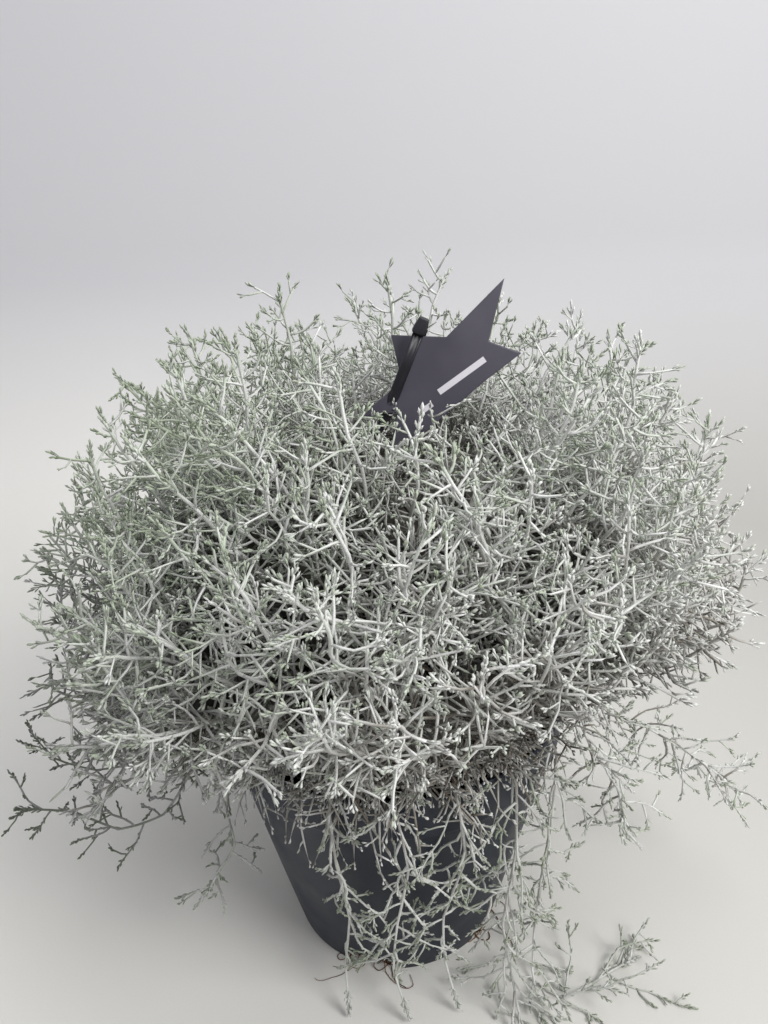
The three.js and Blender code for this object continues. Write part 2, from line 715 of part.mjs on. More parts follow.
// A side shoot out of one face of a collar.
function growShoot(skin, face, here, along, trunk, own, seeds, margin, random) {
  const root = skin.middle(face);
  const looks = skin.normal(face);
  const way = looks.clone().multiplyScalar(0.9).addScaledVector(along, 0.35 + 0.3 * random());
  way.z += 0.15;
  way.setLength(between(random, SIDE_SHOOT_LENGTH));
  const end = withinSpace(here.way, here.share, way, own, seeds, margin);
  if (!end || end.share < CORE_TIP + SHOOT_LIFT) return;
  const tip = crownPoint(end.way, end.share);
  const stretch = new THREE.Vector3().subVectors(tip, root);
  if (stretch.length() < SIDE_SHOOT_LENGTH[0] * 0.6) return;
  if (stretch.normalize().dot(looks) < STEEPEST) return;
  if (!skin.isClear(root, tip, TWIG_RADIUS, trunk)) return;
  skin.sticks.push({ from: root, to: tip, radius: TWIG_RADIUS });
  skin.raise(face, tip);
}

// The end of a displacement, shortened until it lies inside the stem's own space, or nothing.
function withinSpace(way, share, displacement, own, seeds, margin) {
  for (let part = 1; part > 0.5; part -= 0.1) {
    const end = stepFrom(way, share, displacement.clone().multiplyScalar(part));
    if (roomAt(end.way, own, seeds) > margin) return end;
  }
  return null;
}

function polar(radius, azimuth, height) {
  return new THREE.Vector3(radius * Math.cos(azimuth), radius * Math.sin(azimuth), height);
}

// One trailing stem: out of the soil, over the rim, and down or outwards inside its own narrow sector.
function makeTrail({ deg, path }, index) {
  const random = seeded(700 + index);
  const azimuth = THREE.MathUtils.degToRad(deg);
  const sector = THREE.MathUtils.degToRad(TRAIL_SECTOR_DEG);
  const knots = [polar(TRAIL_ROOT_RADIUS, azimuth, STEM_START)];
  const bearings = [azimuth];
  path.forEach(([radius, height, turn = 0], i) => {
    const sway = i > 2 ? sector * 0.35 * Math.sin(i * 1.9 + index) : 0;
    bearings.push(azimuth + THREE.MathUtils.degToRad(turn));
    knots.push(polar(radius, bearings[i + 1] + sway, height));
  });
  const skin = new Skin();
  const bottom = polar(TRAIL_ROOT_RADIUS, azimuth, STEM_START - STEM_DEPTH + TOUCH_GAP);
  let ring = skin.add(ringAcross(bottom, UP, TRAIL_RADIUS, 3, azimuth));
  skin.faces.push([ring[0], ring[2], ring[1]]);
  let place = bottom;
  const go = (next, direction, radius) => {
    const ahead = skin.carry(ring, place, next, direction, radius);
    const faces = skin.bridge(ring, ahead);
    [ring, place] = [ahead, next];
    return faces;
  };
  go(knots[0], UP, TRAIL_RADIUS);
  for (let i = 1; i < knots.length; i += 1) {
    const stretch = new THREE.Vector3().subVectors(knots[i], knots[i - 1]);
    const length = stretch.length();
    const direction = stretch.clone().normalize();
    const radius = TRAIL_RADIUS * (1 - (0.35 * i) / knots.length);
    const whorls = i > 3 ? Math.max(1, Math.round(length / TRAIL_COLLAR_STEP)) : 0;
    for (let w = 0; w < whorls; w += 1) {
      const at = length * ((w + 0.45) / whorls);
      const trunk = { from: knots[i - 1], to: knots[i], radius };
      const foot = knots[i - 1].clone().addScaledVector(direction, at);
      go(foot, direction, radius);
      const collar = go(foot.clone().addScaledVector(direction, COLLAR_LENGTH), direction, radius);
      collar.forEach((pair) => growTrailShoot(skin, pair[w % 2], direction, bearings[i], trunk, random));
      skin.sticks.push(trunk);
    }
    const last = i === knots.length - 1;
    if (last) {
      const waist = knots[i].clone().addScaledVector(direction, -TUFT_LENGTH * TUFT_WAIST);
      go(waist, direction, TUFT_RADIUS);
      skin.close(ring, knots[i]);
    } else {
      const after = new THREE.Vector3().subVectors(knots[i + 1], knots[i]).normalize();
      go(knots[i], after.add(direction).normalize(), radius);
    }
  }
  const holeRadius = TRAIL_RADIUS + TRAIL_HOLE_GAP;
  const hole = loft([-STEM_DEPTH, HOLE_OVERRUN].map((offset) => (
    ringAcross(polar(TRAIL_ROOT_RADIUS, azimuth, STEM_START + offset), UP, holeRadius, 3, azimuth))));
  return { solid: toSolid(skin.geometry()), hole: toSolid(hole) };
}

// A trailing stem's side shoot: inside the sector, clear of the pot and above the floor.
function growTrailShoot(skin, face, along, azimuth, trunk, random) {
  const root = skin.middle(face);
  const way = skin.normal(face).multiplyScalar(0.9).addScaledVector(along, 0.4 + 0.3 * random()).normalize();
  const across = new THREE.Vector3(-Math.sin(azimuth), Math.cos(azimuth), 0);
  const length = between(random, SIDE_SHOOT_LENGTH);
  for (let share = 1; share > 0.45; share -= 0.1) {
    const tip = root.clone().addScaledVector(way, length * share);
    tip.z = Math.max(tip.z, 1.2);
    const radius = Math.hypot(tip.x, tip.y);
    const room = Math.sin(THREE.MathUtils.degToRad(TRAIL_SECTOR_DEG)) * radius - Math.abs(tip.dot(across));
    const clear = radius - potRadius(Math.max(0, tip.z));
    if (room > 1 && clear > 1.2 && skin.isClear(root, tip, TWIG_RADIUS, trunk)) {
      skin.sticks.push({ from: root, to: tip, radius: TWIG_RADIUS });
      skin.raise(face, tip);
      return;
    }
  }
}

// The tag's place: across it, up it, and out of its face.
function tagFrame() {
  const across = new THREE.Vector3(1, 0, 0);
  const upwards = new THREE.Vector3(0, Math.sin(TAG_LEAN), Math.cos(TAG_LEAN));
  const face = new THREE.Vector3().crossVectors(across, upwards);
  return new THREE.Matrix4().makeBasis(across, upwards, face).setPosition(TAG_MIDDLE);
}

// A star-shaped plate, grown by a margin all round.
function starPlate(margin) {
  const shape = new THREE.Shape(TAG_OUTLINE.map(([x, y]) => {
    const out = 1 + margin / 30;
    return new THREE.Vector2(x * out, y * out);
  }));
  const plate = new THREE.ExtrudeGeometry(shape, { depth: TAG_THICKNESS + 2 * margin, bevelEnabled: false });
  plate.translate(0, 0, -TAG_THICKNESS / 2 - margin);
  plate.applyMatrix4(tagFrame());
  return toSolid(plate);
}

// The stake's bar, grown by a margin all round.
function stakeBar(margin) {
  const along = new THREE.Vector3().subVectors(STAKE_TOP, STAKE_FOOT);
  const length = along.length();
  const [width, thickness] = [STAKE_WIDTH + 2 * margin, STAKE_THICKNESS + 2 * margin];
  const bar = new THREE.BoxGeometry(width, thickness, length + 2 * margin);
  bar.applyMatrix4(stakeFrame().setPosition(new THREE.Vector3().lerpVectors(STAKE_FOOT, STAKE_TOP, 0.5)));
  return toSolid(bar);
}

// The stake's own directions: across it, out of its back, and up it.
function stakeFrame() {
  const upwards = new THREE.Vector3().subVectors(STAKE_TOP, STAKE_FOOT).normalize();
  const back = new THREE.Vector3(0, 1, 0).addScaledVector(upwards, -upwards.y).normalize();
  const across = new THREE.Vector3().crossVectors(back, upwards);
  return new THREE.Matrix4().makeBasis(across, back, upwards);
}

// The small oval head of the stake, grown by a margin all round.
function stakeHead(margin) {
  const [width, height, thickness] = STAKE_HEAD;
  const head = new THREE.Shape();
  head.absellipse(0, 0, width / 2 + margin, height / 2 + margin, 0, Math.PI * 2);
  const block = new THREE.ExtrudeGeometry(head, {
    depth: thickness + 2 * margin, bevelEnabled: false, curveSegments: 5,
  });
  block.translate(0, 0, -thickness / 2 - margin);
  block.rotateX(Math.PI / 2);
  block.applyMatrix4(stakeFrame().setPosition(STAKE_TOP));
  return toSolid(block);
}

// Roots that curl out of a notch on to the floor, joined near the root ball.
function makeRoots({ notch, spread, count }, index) {
  const random = seeded(900 + index);
  const middle = THREE.MathUtils.degToRad(NOTCH_FIRST_DEG + (360 / NOTCH_COUNT) * notch);
  const start = SOIL_FOOT_RADIUS + 2 * TOUCH_GAP;
  const pieces = [];
  for (let n = 0; n < count; n += 1) {
    const lean = THREE.MathUtils.degToRad(spread * (n / (count - 1) - 0.5));
    const places = [polar(start, middle, 4.2)];
    let bearing = middle + lean * 2;
    let place = polar(start + 6, middle + lean * 0.2, 3);
    const curl = (random() - 0.5) * 0.5;
    for (let s = 0; s < ROOT_STEPS; s += 1) {
      places.push(place.clone());
      place = place.clone().add(polar(ROOT_STEP, bearing, 0));
      place.z = Math.max(ROOT_LOWEST, place.z - 0.6);
      bearing += curl + (random() - 0.5) * 0.7;
    }
    places.push(place);
    const radii = places.map((_, i) => ROOT_RADIUS * (1 - (0.45 * i) / places.length));
    pieces.push(stick(places, radii, 3, 0.3 * n));
  }
  return largestBody(wasm.Manifold.union(pieces));
}

// The whole plant, pot and tag.
function build() {
  const group = new THREE.Group();
  group.name = 'potted_cushion_bush';
  const clearing = wasm.Manifold.union([
    starPlate(TAG_CLEARING), stakeBar(TOUCH_GAP), stakeHead(TAG_CLEARING),
  ]);
  const holes = [stakeBar(TOUCH_GAP)];
  const stems = [];
  const seeds = crownSeeds();
  seeds.forEach((_, own) => {
    const { solid, hole } = makeCrownStem(own, seeds);
    holes.push(hole);
    const name = `stem_${String(own + 1).padStart(2, '0')}`;
    stems.push(part(name, largestBody(solid.subtract(clearing)), 'leaf'));
  });
  TRAILS.forEach((trail, index) => {
    const { solid, hole } = makeTrail(trail, index);
    holes.push(hole);
    stems.push(part(`trail_${String(index + 1).padStart(2, '0')}`, largestBody(solid), 'leaf'));
  });
  group.add(part('pot', makePot(), 'pot'));
  group.add(part('soil', makeSoil(holes), 'soil'));
  group.add(...stems);
  ROOT_RUNS.forEach((run, index) => group.add(part(run.name, makeRoots(run, index), 'root')));
  const stake = wasm.Manifold.union([stakeBar(0), stakeHead(0)]);
  const tag = starPlate(0).subtract(wasm.Manifold.union([stakeBar(TOUCH_GAP), stakeHead(TOUCH_GAP)]));
  group.add(part('tag', largestBody(tag, 0.01), 'tag'));
  group.add(part('tag_stake', largestBody(stake, 0.01), 'stake'));
  return group;
}

export default build();
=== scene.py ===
"""A large cushion bush in a nursery pot, dressed around its CAD frame.

The bush is a dome of felted, silver-white stems. Each leafy stem of the frame is replaced by a finer piece
that keeps to the same space: a brown stem, the leaders that it splits into, their side branches, the twigs
on those, and the narrow leaves at every tip. Lengths are in metres unless a name says otherwise.
"""

import logging
import math
from dataclasses import dataclass, field
from enum import Enum
from functools import partial
from typing import Any, Callable, Iterable

import bpy
import numpy as np
from mathutils import Matrix, Vector


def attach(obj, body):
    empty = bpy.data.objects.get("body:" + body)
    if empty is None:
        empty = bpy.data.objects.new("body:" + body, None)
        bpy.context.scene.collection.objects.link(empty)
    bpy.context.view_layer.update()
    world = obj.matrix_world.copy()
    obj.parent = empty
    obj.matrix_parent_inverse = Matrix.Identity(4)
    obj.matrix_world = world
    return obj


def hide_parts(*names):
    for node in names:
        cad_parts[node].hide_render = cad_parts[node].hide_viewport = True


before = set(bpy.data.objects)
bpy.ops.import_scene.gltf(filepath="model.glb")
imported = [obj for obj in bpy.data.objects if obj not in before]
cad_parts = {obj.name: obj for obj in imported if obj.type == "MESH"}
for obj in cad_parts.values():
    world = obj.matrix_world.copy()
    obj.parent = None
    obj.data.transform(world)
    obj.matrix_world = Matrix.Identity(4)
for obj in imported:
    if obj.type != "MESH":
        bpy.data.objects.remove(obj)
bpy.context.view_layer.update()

LOG = logging.getLogger("cushion_bush")
MM = 0.001
GOLDEN_TURN = math.pi * (3 - math.sqrt(5))
UP = np.array([0.0, 0.0, 1.0])
# Length of shoot for one kink.
KINK_LENGTH = 30 * MM
# Distance that is kept between a twig's axis and the pot or the floor.
TWIG_GAP = 1.5 * MM
# How the second way that a stick strays differs from the first: in its start and in its pace.
OUT_OF_STEP = (1.7, 0.8)
# Share of a stick to either side of a point, over which its direction there is taken.
NEAR = 0.02

Array = np.ndarray
Body = tuple[np.ndarray, np.ndarray]
Span = tuple[float, float]
Triple = tuple[float, float, float]
Material = bpy.types.Material
Socket = bpy.types.NodeSocket
Adder = Callable[..., Socket]


def linear(colour: str) -> tuple[float, float, float, float]:
    """Turns an sRGB hex colour into the linear values that a shader takes.

    Args:
        colour: Six hex digits, with or without a leading hash.

    Returns:
        Red, green and blue from 0 to 1, and an alpha of 1.
    """
    digits = colour.lstrip("#")
    levels = [int(digits[i : i + 2], 16) / 255 for i in (0, 2, 4)]
    red, green, blue = [c / 12.92 if c <= 0.04045 else ((c + 0.055) / 1.055) ** 2.4 for c in levels]
    return red, green, blue, 1.0


def unit(vectors: Array) -> Array:
    """Scales vectors to length 1, along the last axis."""
    return vectors / np.maximum(np.linalg.norm(vectors, axis=-1, keepdims=True), 1e-12)


def mix(low: Any, high: Any, share: Any) -> Any:
    """Returns the value that lies a share of the way from low to high."""
    return low + (high - low) * share


def circle(count: int) -> Array:
    """Returns the angles of even steps round a circle."""
    return np.arange(count) * 2 * math.pi / count


def swung(first: Array, second: Array, angle: Array) -> Array:
    """Returns directions turned by angles from a unit vector towards one at right angles to it."""
    angle = angle[..., None]
    return first * np.cos(angle) + second * np.sin(angle)


def polar(across: Any, azimuth: Any, height: Any) -> Array:
    """Returns places from their distance from the pot's axis, their azimuth and their height."""
    x, y = across * np.cos(azimuth), across * np.sin(azimuth)
    return np.stack(np.broadcast_arrays(x, y, height), -1)


def from_axis(places: Array) -> Array:
    """Returns the distance of places from the pot's axis."""
    return np.hypot(places[:, 0], places[:, 1])


def sideways(direction: Array) -> tuple[Array, Array]:
    """Returns two unit vectors that stand at right angles to each direction and to each other."""
    helper = np.where(np.abs(direction[:, 2:3]) > 0.9, np.array([[1.0, 0.0, 0.0]]), UP[None])
    side = unit(np.cross(direction, helper))
    return side, np.cross(direction, side)


@dataclass
class Sticks:
    """Many curved, tapering sticks at once. Each follows a quadratic curve, with kinks on top of it.

    The arrays hold one row for each stick. Tone runs from 0, dead brown wood, by way of 1, white felt, to 2,
    grey-green young growth. Kink is how far a stick strays from its curve, and waves how often. It strays
    two ways, which OUT_OF_STEP keeps from falling in with each other.
    """

    start: Array
    middle: Array
    end: Array
    thick: Array
    thin: Array
    tone_start: Array
    tone_end: Array
    owner: Array
    kink: Array
    waves: Array
    phase: Array

    def __len__(self) -> int:
        """Returns the number of sticks."""
        return len(self.start)

    def at(self, share: Array, which: Any = slice(None)) -> Array:
        """Returns a point on each stick, at a share of the way along it.

        Args:
            share: The share, one for each stick.
            which: The numbers of the sticks, or else all.

        Returns:
            The points.
        """
        t = np.asarray(share)[..., None]
        first, last = self.start[which], self.end[which]
        curve = first * (1 - t) ** 2 + self.middle[which] * 2 * t * (1 - t) + last * t**2
        side, other = sideways(unit(last - first))
        phase = self.phase[which][:, None]
        turn = self.waves[which][:, None] * t * 2 * math.pi
        stray = side * (np.sin(phase + turn) - np.sin(phase))
        shift, slow = OUT_OF_STEP
        stray = stray + other * (np.cos(shift * phase + slow * turn) - np.cos(shift * phase))
        return curve + stray * self.kink[which][:, None]

    def along(self, share: Array, which: Any = slice(None)) -> Array:
        """Returns the unit direction of each stick, at a share of the way along it."""
        share = np.asarray(share)
        return unit(self.at(share + NEAR, which) - self.at(share - NEAR, which))

    def lengths(self) -> Array:
        """Returns the length of each stick, near enough."""
        chord = np.linalg.norm(self.end - self.start, axis=1)
        first, second = self.middle - self.start, self.end - self.middle
        return (2 * chord + (np.linalg.norm(first, axis=1) + np.linalg.norm(second, axis=1))) / 3

    def take(self, which: Array) -> "Sticks":
        """Returns the sticks that a mask or an index array picks."""
        return Sticks(*(getattr(self, name)[which] for name in self.__dataclass_fields__))

    @staticmethod
    def made(start: Array, middle: Array, end: Array, owner: Array, **even: Any) -> "Sticks":
        """Makes sticks from their curves.

        Args:
            start: Where each begins.
            middle: The point that each bends towards.
            end: Where each ends.
            owner: The number of the leafy stem that each belongs to.
            **even: Any other field, as one value for all or one for each. What isn't given is 0.

        Returns:
            The sticks.
        """
        rest = ("thick", "thin", "tone_start", "tone_end", "kink", "waves", "phase")
        each = {name: np.broadcast_to(even.get(name, 0.0), (len(start),)).astype(float) for name in rest}
        return Sticks(start=start, middle=middle, end=end, owner=owner, **each)


@dataclass(frozen=True)
class Habit:
    """How shoots stand on what they grow from.

    Attributes:
        spacing: Length of parent stem for each shoot.
        first: Where on the parent the lowest shoot stands, as a share of its length.
        last: Where the highest one stands.
        angle_deg: Least and greatest angle between parent and shoot.
        length: Least and greatest length at the lowest shoot.
        shrink: How much shorter the highest shoots are, as a share.
        lift: How much a shoot turns to the light along its length.
        thick: Radius where it starts.
        thin: Radius at its end.
        tone: Tone at its start and at its end.
        keep: Share of the places that carry a shoot.
        kink: How far it strays from its curve.
        wander: How far its bend strays from the light, as a share of its direction.
        tone_spread: How much the tones of shoots differ, and the most that they may.
        uneven: Least and greatest radius of a shoot, as a share of what is given.
        within: Where a shoot may stand in its own stretch of stem.
    """

    spacing: float
    first: float
    last: float
    angle_deg: Span
    length: Span
    shrink: float
    lift: float
    thick: float
    thin: float
    tone: Span
    keep: float = 1.0
    kink: float = 0.35 * MM
    wander: float = 0.33
    tone_spread: Span = (0.12, 0.3)
    uneven: Span = (0.85, 1.15)
    within: Span = (0.2, 0.8)


def grow(parents: Sticks, habit: Habit, light: Callable[[Array], Array], seed: int) -> Sticks:
    """Grows shoots along stems.

    Args:
        parents: The stems.
        habit: How the shoots stand on them.
        light: Gives, for places, the direction that shoots turn to there.
        seed: Seed of the random draws.

    Returns:
        The shoots, in the order of their parents.
    """
    draw = np.random.default_rng(seed)
    span = habit.last - habit.first
    count = np.round(parents.lengths() * span / habit.spacing).astype(int)
    which = np.repeat(np.arange(len(parents)), count)
    order = np.arange(len(which)) - np.repeat(np.cumsum(count) - count, count)
    within = draw.uniform(*habit.within, len(which))
    share = habit.first + span * (order + within) / np.maximum(count[which], 1)
    kept = draw.random(len(which)) < habit.keep
    which, order, share = which[kept], order[kept], share[kept]
    total = len(which)
    base = parents.at(share, which)
    along = parents.along(share, which)
    side, other = sideways(along)
    turn = order * GOLDEN_TURN + draw.uniform(0, 2 * math.pi, len(parents))[which]
    out = swung(side, other, turn + draw.uniform(-0.5, 0.5, total))
    direction = swung(along, out, np.radians(draw.uniform(*habit.angle_deg, total)))
    height = (share - habit.first) / span
    size = (draw.uniform(*habit.length, total) * (1 - habit.shrink * height))[:, None]
    middle = base + direction * size * 0.5
    wander = draw.normal(0, habit.wander, (total, 3))
    bent = unit(direction + light(middle) * habit.lift + wander)
    spread, most = habit.tone_spread
    tone = np.clip(draw.normal(0, spread, total), -most, most)
    return Sticks.made(
        start=base,
        middle=middle,
        end=middle + bent * size * 0.5,
        owner=parents.owner[which],
        thick=habit.thick * draw.uniform(*habit.uneven, total),
        thin=habit.thin * draw.uniform(*habit.uneven, total),
        tone_start=habit.tone[0] + tone,
        tone_end=habit.tone[1] + tone,
        kink=habit.kink,
        waves=size[:, 0] / KINK_LENGTH,
        phase=draw.uniform(0, 2 * math.pi, total),
    )


@dataclass
class Skin:
    """The points, faces and tones of one piece, gathered before its mesh is made.

    Depth is a point's place between the shaded middle of the dome, 0, and its surface, 1. Blunt is how far
    the last ring of a rod is moved to its tip, and leaf_rings are where a leaf's three corners lie along it.
    """

    depth_at: Callable[[Array], Array]
    points: list[Array] = field(default_factory=list)
    faces: list[Array] = field(default_factory=list)
    tones: list[Array] = field(default_factory=list)
    count: int = 0
    blunt: float = 0.55
    leaf_rings: Triple = (0.68, 0.86, 0.77)

    def add(self, points: Array, faces: Array, tones: Array) -> None:
        """Adds points and the triangles between them, counted from the first of these points."""
        self.points.append(points.reshape(-1, 3))
        self.faces.append(faces + self.count)
        self.tones.append(tones.reshape(-1))
        self.count += len(self.points[-1])

    def add_rods(self, sticks: Sticks, steps: int, sides: int, knobs: float = 0.0) -> None:
        """Adds sticks as closed rods that end in a point.

        Args:
            sticks: The sticks.
            steps: Number of stretches along each.
            sides: Number of sides.
            knobs: How much every second ring is thicker, as a share.
        """
        total = len(sticks)
        if total == 0:
            return
        shares = np.linspace(0, 1, steps + 1)
        shares[-2] = mix(shares[-2], 1, self.blunt)
        side, _ = sideways(unit(sticks.end - sticks.start))
        rings, tones = [], []
        for j, share in enumerate(shares[:-1]):
            t = np.full(total, share)
            along = sticks.along(t)
            across = unit(side - along * np.sum(side * along, 1, keepdims=True))
            radius = mix(sticks.thick, sticks.thin, share)[:, None, None] * (1 + knobs * (j % 2))
            ring = swung(across[:, None], np.cross(along, across)[:, None], circle(sides))
            rings.append(sticks.at(t)[:, None] + ring * radius)
            tones.append(np.repeat(mix(sticks.tone_start, sticks.tone_end, share)[:, None], sides, 1))
        points = np.concatenate([*rings, sticks.at(np.ones(total))[:, None]], 1)
        faces = tiled(rod_faces(steps, sides), total, points.shape[1])
        self.add(points, faces, np.concatenate([*tones, sticks.tone_end[:, None]], 1))

    def add_path(self, places: Array, radii: Array, tones: Array, sides: int) -> None:
        """Adds one long rod through many places, with a radius and a tone at each.

        Args:
            places: The places, from the foot to the tip.
            radii: The radius at each place.
            tones: The tone at each place.
            sides: Number of sides.
        """
        along = unit(np.gradient(places, axis=0))
        side = sideways(along[:1])[0][0]
        rings = []
        for place, way, radius in zip(places[:-1], along[:-1], radii[:-1]):
            side = unit(side - way * np.dot(side, way))
            rings.append(place + swung(side, np.cross(way, side), circle(sides)) * radius)
        points = np.concatenate([*rings, places[-1:]])
        each = np.concatenate([np.repeat(tones[:-1], sides), tones[-1:]])
        self.add(points, rod_faces(len(places) - 1, sides), each)

    def add_leaves(self, sticks: Sticks) -> None:
        """Adds sticks as narrow, blunt leaves: a foot, three corners near the end, and the tip."""
        total = len(sticks)
        if total == 0:
            return
        side, other = sideways(unit(sticks.end - sticks.start))
        corners = [sticks.start]
        for turn, share in zip(circle(3), self.leaf_rings):
            out = swung(side, other, sticks.phase + turn) * sticks.thick[:, None]
            corners.append(mix(sticks.start, sticks.end, share) + out)
        faces = np.array([[0, 2, 1], [0, 3, 2], [0, 1, 3], [1, 2, 4], [2, 3, 4], [3, 1, 4]])
        tones = np.stack([sticks.tone_start, *[sticks.tone_end] * 4], 1)
        self.add(np.stack([*corners, sticks.end], 1), tiled(faces, total, 5), tones)

    def body(self) -> Body:
        """Returns all points and triangles."""
        return np.concatenate(self.points), np.concatenate(self.faces)

    def piece(self, node: str, material: Material) -> None:
        """Makes the leafy piece that stands for a node, with its tones and depths as point attributes."""
        body = self.body()
        mesh = new_piece("leafy_" + node, body, material, Finish.LEAF, node).data
        for title, values in (("tone", np.concatenate(self.tones)), ("depth", self.depth_at(body[0]))):
            mesh.attributes.new(title, "FLOAT", "POINT")
            mesh.attributes[title].data.foreach_set("value", values.astype(np.float32))


def new_piece(name: str, body: Body, material: Material, slot: "Finish", node: str) -> bpy.types.Object:
    """Makes a smooth-shaded piece that stands for a node of the frame and rides with it.

    Args:
        name: The piece's name.
        body: Its points, and three point numbers for each triangle.
        material: Its finish.
        slot: The record's slot of that finish; not used.
        node: The node that it replaces.

    Returns:
        The new object, linked to the scene.
    """
    points, faces = body
    mesh = bpy.data.meshes.new(name)
    mesh.vertices.add(len(points))
    mesh.vertices.foreach_set("co", points.astype(np.float32).ravel())
    mesh.loops.add(faces.size)
    mesh.loops.foreach_set("vertex_index", faces.astype(np.int32).ravel())
    mesh.polygons.add(len(faces))
    mesh.polygons.foreach_set("loop_start", np.arange(0, faces.size, 3, dtype=np.int32))
    mesh.update(calc_edges=True)
    mesh.shade_smooth()
    mesh.materials.append(material)
    made = bpy.data.objects.new(name, mesh)
    bpy.context.scene.collection.objects.link(made)
    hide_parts(node)
    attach(made, "root")
    LOG.info("%s: %d triangles", name, len(faces))
    return made


def tiled(faces: Array, total: int, each: int) -> Array:
    """Repeats one stick's faces for all sticks, each with its own run of points."""
    return (faces[None] + (np.arange(total) * each)[:, None, None]).reshape(-1, 3)


def rod_faces(steps: int, sides: int) -> Array:
    """Returns the triangles of one rod: a flat foot, its sides, and a pointed end."""
    faces = [[0, k + 1, k] for k in range(1, sides - 1)]
    for j in range(steps):
        low = j * sides
        for k in range(sides):
            after = (k + 1) % sides
            if j == steps - 1:
                faces.append([low + k, low + after, steps * sides])
            else:
                faces.append([low + k, low + after, low + sides + after])
                faces.append([low + k, low + sides + after, low + sides + k])
    return np.array(faces)


@dataclass(frozen=True)
class Crown:
    """The space of the dome, and how it is shared out among the leafy stems of the frame.

    The direction of a stem is its place in the dome as seen from the soil. A share of 0 is the soil, and one
    of 1 the dome's surface. Reach is how far round the dome comes down: on the whole, and how much less at
    its right, more at its back, and more at both sides. The front corners are raised, the right one most.
    """

    count: int = 26
    spread: float = math.radians(135)
    seed_spread: float = math.radians(121)
    root_radius: float = 85 * MM
    radius: float = 205 * MM
    height_up: float = 172 * MM
    height_down: float = 160 * MM
    middle: Triple = (7 * MM, 0.0, 250 * MM)
    fullness_above: float = 0.78
    fullness_below: float = 0.6
    open_below: float = 240 * MM
    stem_start: float = 172 * MM
    bend_at: float = 0.42
    arch_up: float = 22 * MM
    arch_over: float = 0.5
    arch_level: float = 270 * MM
    rim: Span = (118 * MM, 196 * MM)
    under_curve: float = 0.55
    lobes: Span = (0.035, 0.03)
    slim_azimuth: float = math.radians(-18)
    slim_width: float = math.radians(30)
    slim_from: float = math.radians(62)
    slim_over: float = math.radians(36)
    slimmer: float = 0.1
    reach_deg: tuple[float, float, float, float] = (112, 12, 25, 9)
    raised_deg: Span = (22, 10)
    low_fade: float = 35 * MM
    # Painted shade: how much depth, which the leaf material darkens by, is taken off near the dome's
    # underside, and within what height above it.
    under_shade: float = 0.2
    under_reach: float = 55 * MM
    least_room: float = 0.7

    def directions(self, count: int, spread: float, seed: int = 0) -> Array:
        """Returns directions spread evenly over the dome, from its top down, turned by a seed.

        Args:
            count: Number of directions.
            spread: Angle from the top down that they fill.
            seed: How far all are turned round, in radians.

        Returns:
            The directions, as unit vectors.
        """
        i = np.arange(count)
        up = 1 - (i + 0.5) / count * (1 - math.cos(spread))
        across = np.sqrt(1 - up**2)
        turn = i * GOLDEN_TURN + seed
        return polar(across, turn, up)

    def seeds(self) -> Array:
        """Returns the direction of each leafy stem of the frame."""
        return self.directions(self.count, self.seed_spread)

    def surface(self, angle: Array, azimuth: Array) -> Array:
        """Returns places on the dome's surface.

        Args:
            angle: How far round from the dome's top each lies.
            azimuth: The azimuth of each.

        Returns:
            The places.
        """
        sine = np.maximum(np.sin(angle), 0)
        below = angle > math.pi / 2
        across = self.radius * sine ** np.where(below, self.fullness_below, self.fullness_above)
        round_it, down_it = self.lobes
        wave = round_it * np.sin(3 * azimuth + 0.6) + down_it * np.sin(5 * angle + 2 * azimuth)
        away = (azimuth - self.slim_azimuth + math.pi) % (2 * math.pi) - math.pi
        low = np.clip((angle - self.slim_from) / self.slim_over, 0, 1)
        wave = wave - self.slimmer * low * np.exp(-((away / self.slim_width) ** 2))
        across = across * (1 + wave * sine)
        up = np.cos(angle) * np.where(below, self.height_down, self.height_up)
        return polar(across, azimuth, up) + np.array(self.middle)

    def place(self, direction: Array, share: Array) -> Array:
        """Returns places in the crown, from the soil to the dome's surface and past it.

        Args:
            direction: The direction of the stem that each lies on.
            share: The share of the way to the surface.

        Returns:
            The places.
        """
        angle = np.minimum(np.arccos(np.clip(direction[:, 2], -1, 1)), self.spread)
        azimuth = np.arctan2(direction[:, 1], direction[:, 0])
        edge = angle / self.spread
        start = polar(self.root_radius * edge, azimuth, self.stem_start)
        end = self.surface(edge * self.reach(azimuth), azimuth)
        lift = self.arch_up * edge**2 + self.arch_over * np.maximum(0, self.arch_level - end[:, 2]) * edge
        bend = mix(start, end, self.bend_at)
        bend[:, 2] = (start[:, 2] + end[:, 2]) / 2 + lift
        t = np.minimum(share, 1)[:, None]
        inner = start * (1 - t) ** 2 + bend * 2 * t * (1 - t) + end * t**2
        past = np.maximum(share - 1, 0)[:, None]
        return inner + self.outwards(end) * past * self.radius

    def reach(self, azimuth: Array) -> Array:
        """Returns how far round the dome comes down, least at the front, where the rim shows."""
        level, right, back, sides = self.reach_deg
        more, less = self.raised_deg
        corner = np.maximum(0, -np.sin(azimuth)) * np.cos(azimuth)
        raised = np.maximum(more * corner, -less * corner)
        turned = level - right * np.cos(azimuth) + back * np.sin(azimuth) + sides * np.cos(2 * azimuth)
        return np.radians(turned - raised)

    def depth(self, places: Array) -> Array:
        """Returns how far out places lie, as a share of the dome's radius, or of the rim's below it, which
        the leaf material paints shade by.
        """
        away = places - np.array(self.middle)
        height = np.where(away[:, 2] > 0, self.height_up, self.height_down)
        dome = np.sqrt((away[:, 0] ** 2 + away[:, 1] ** 2) / self.radius**2 + (away[:, 2] / height) ** 2)
        # Near the rim and low down the depth is raised, so the low shoots there take no painted shade.
        low = np.clip((self.open_below - places[:, 2]) / self.low_fade, 0, 1)
        across = from_axis(places) / self.rim[0]
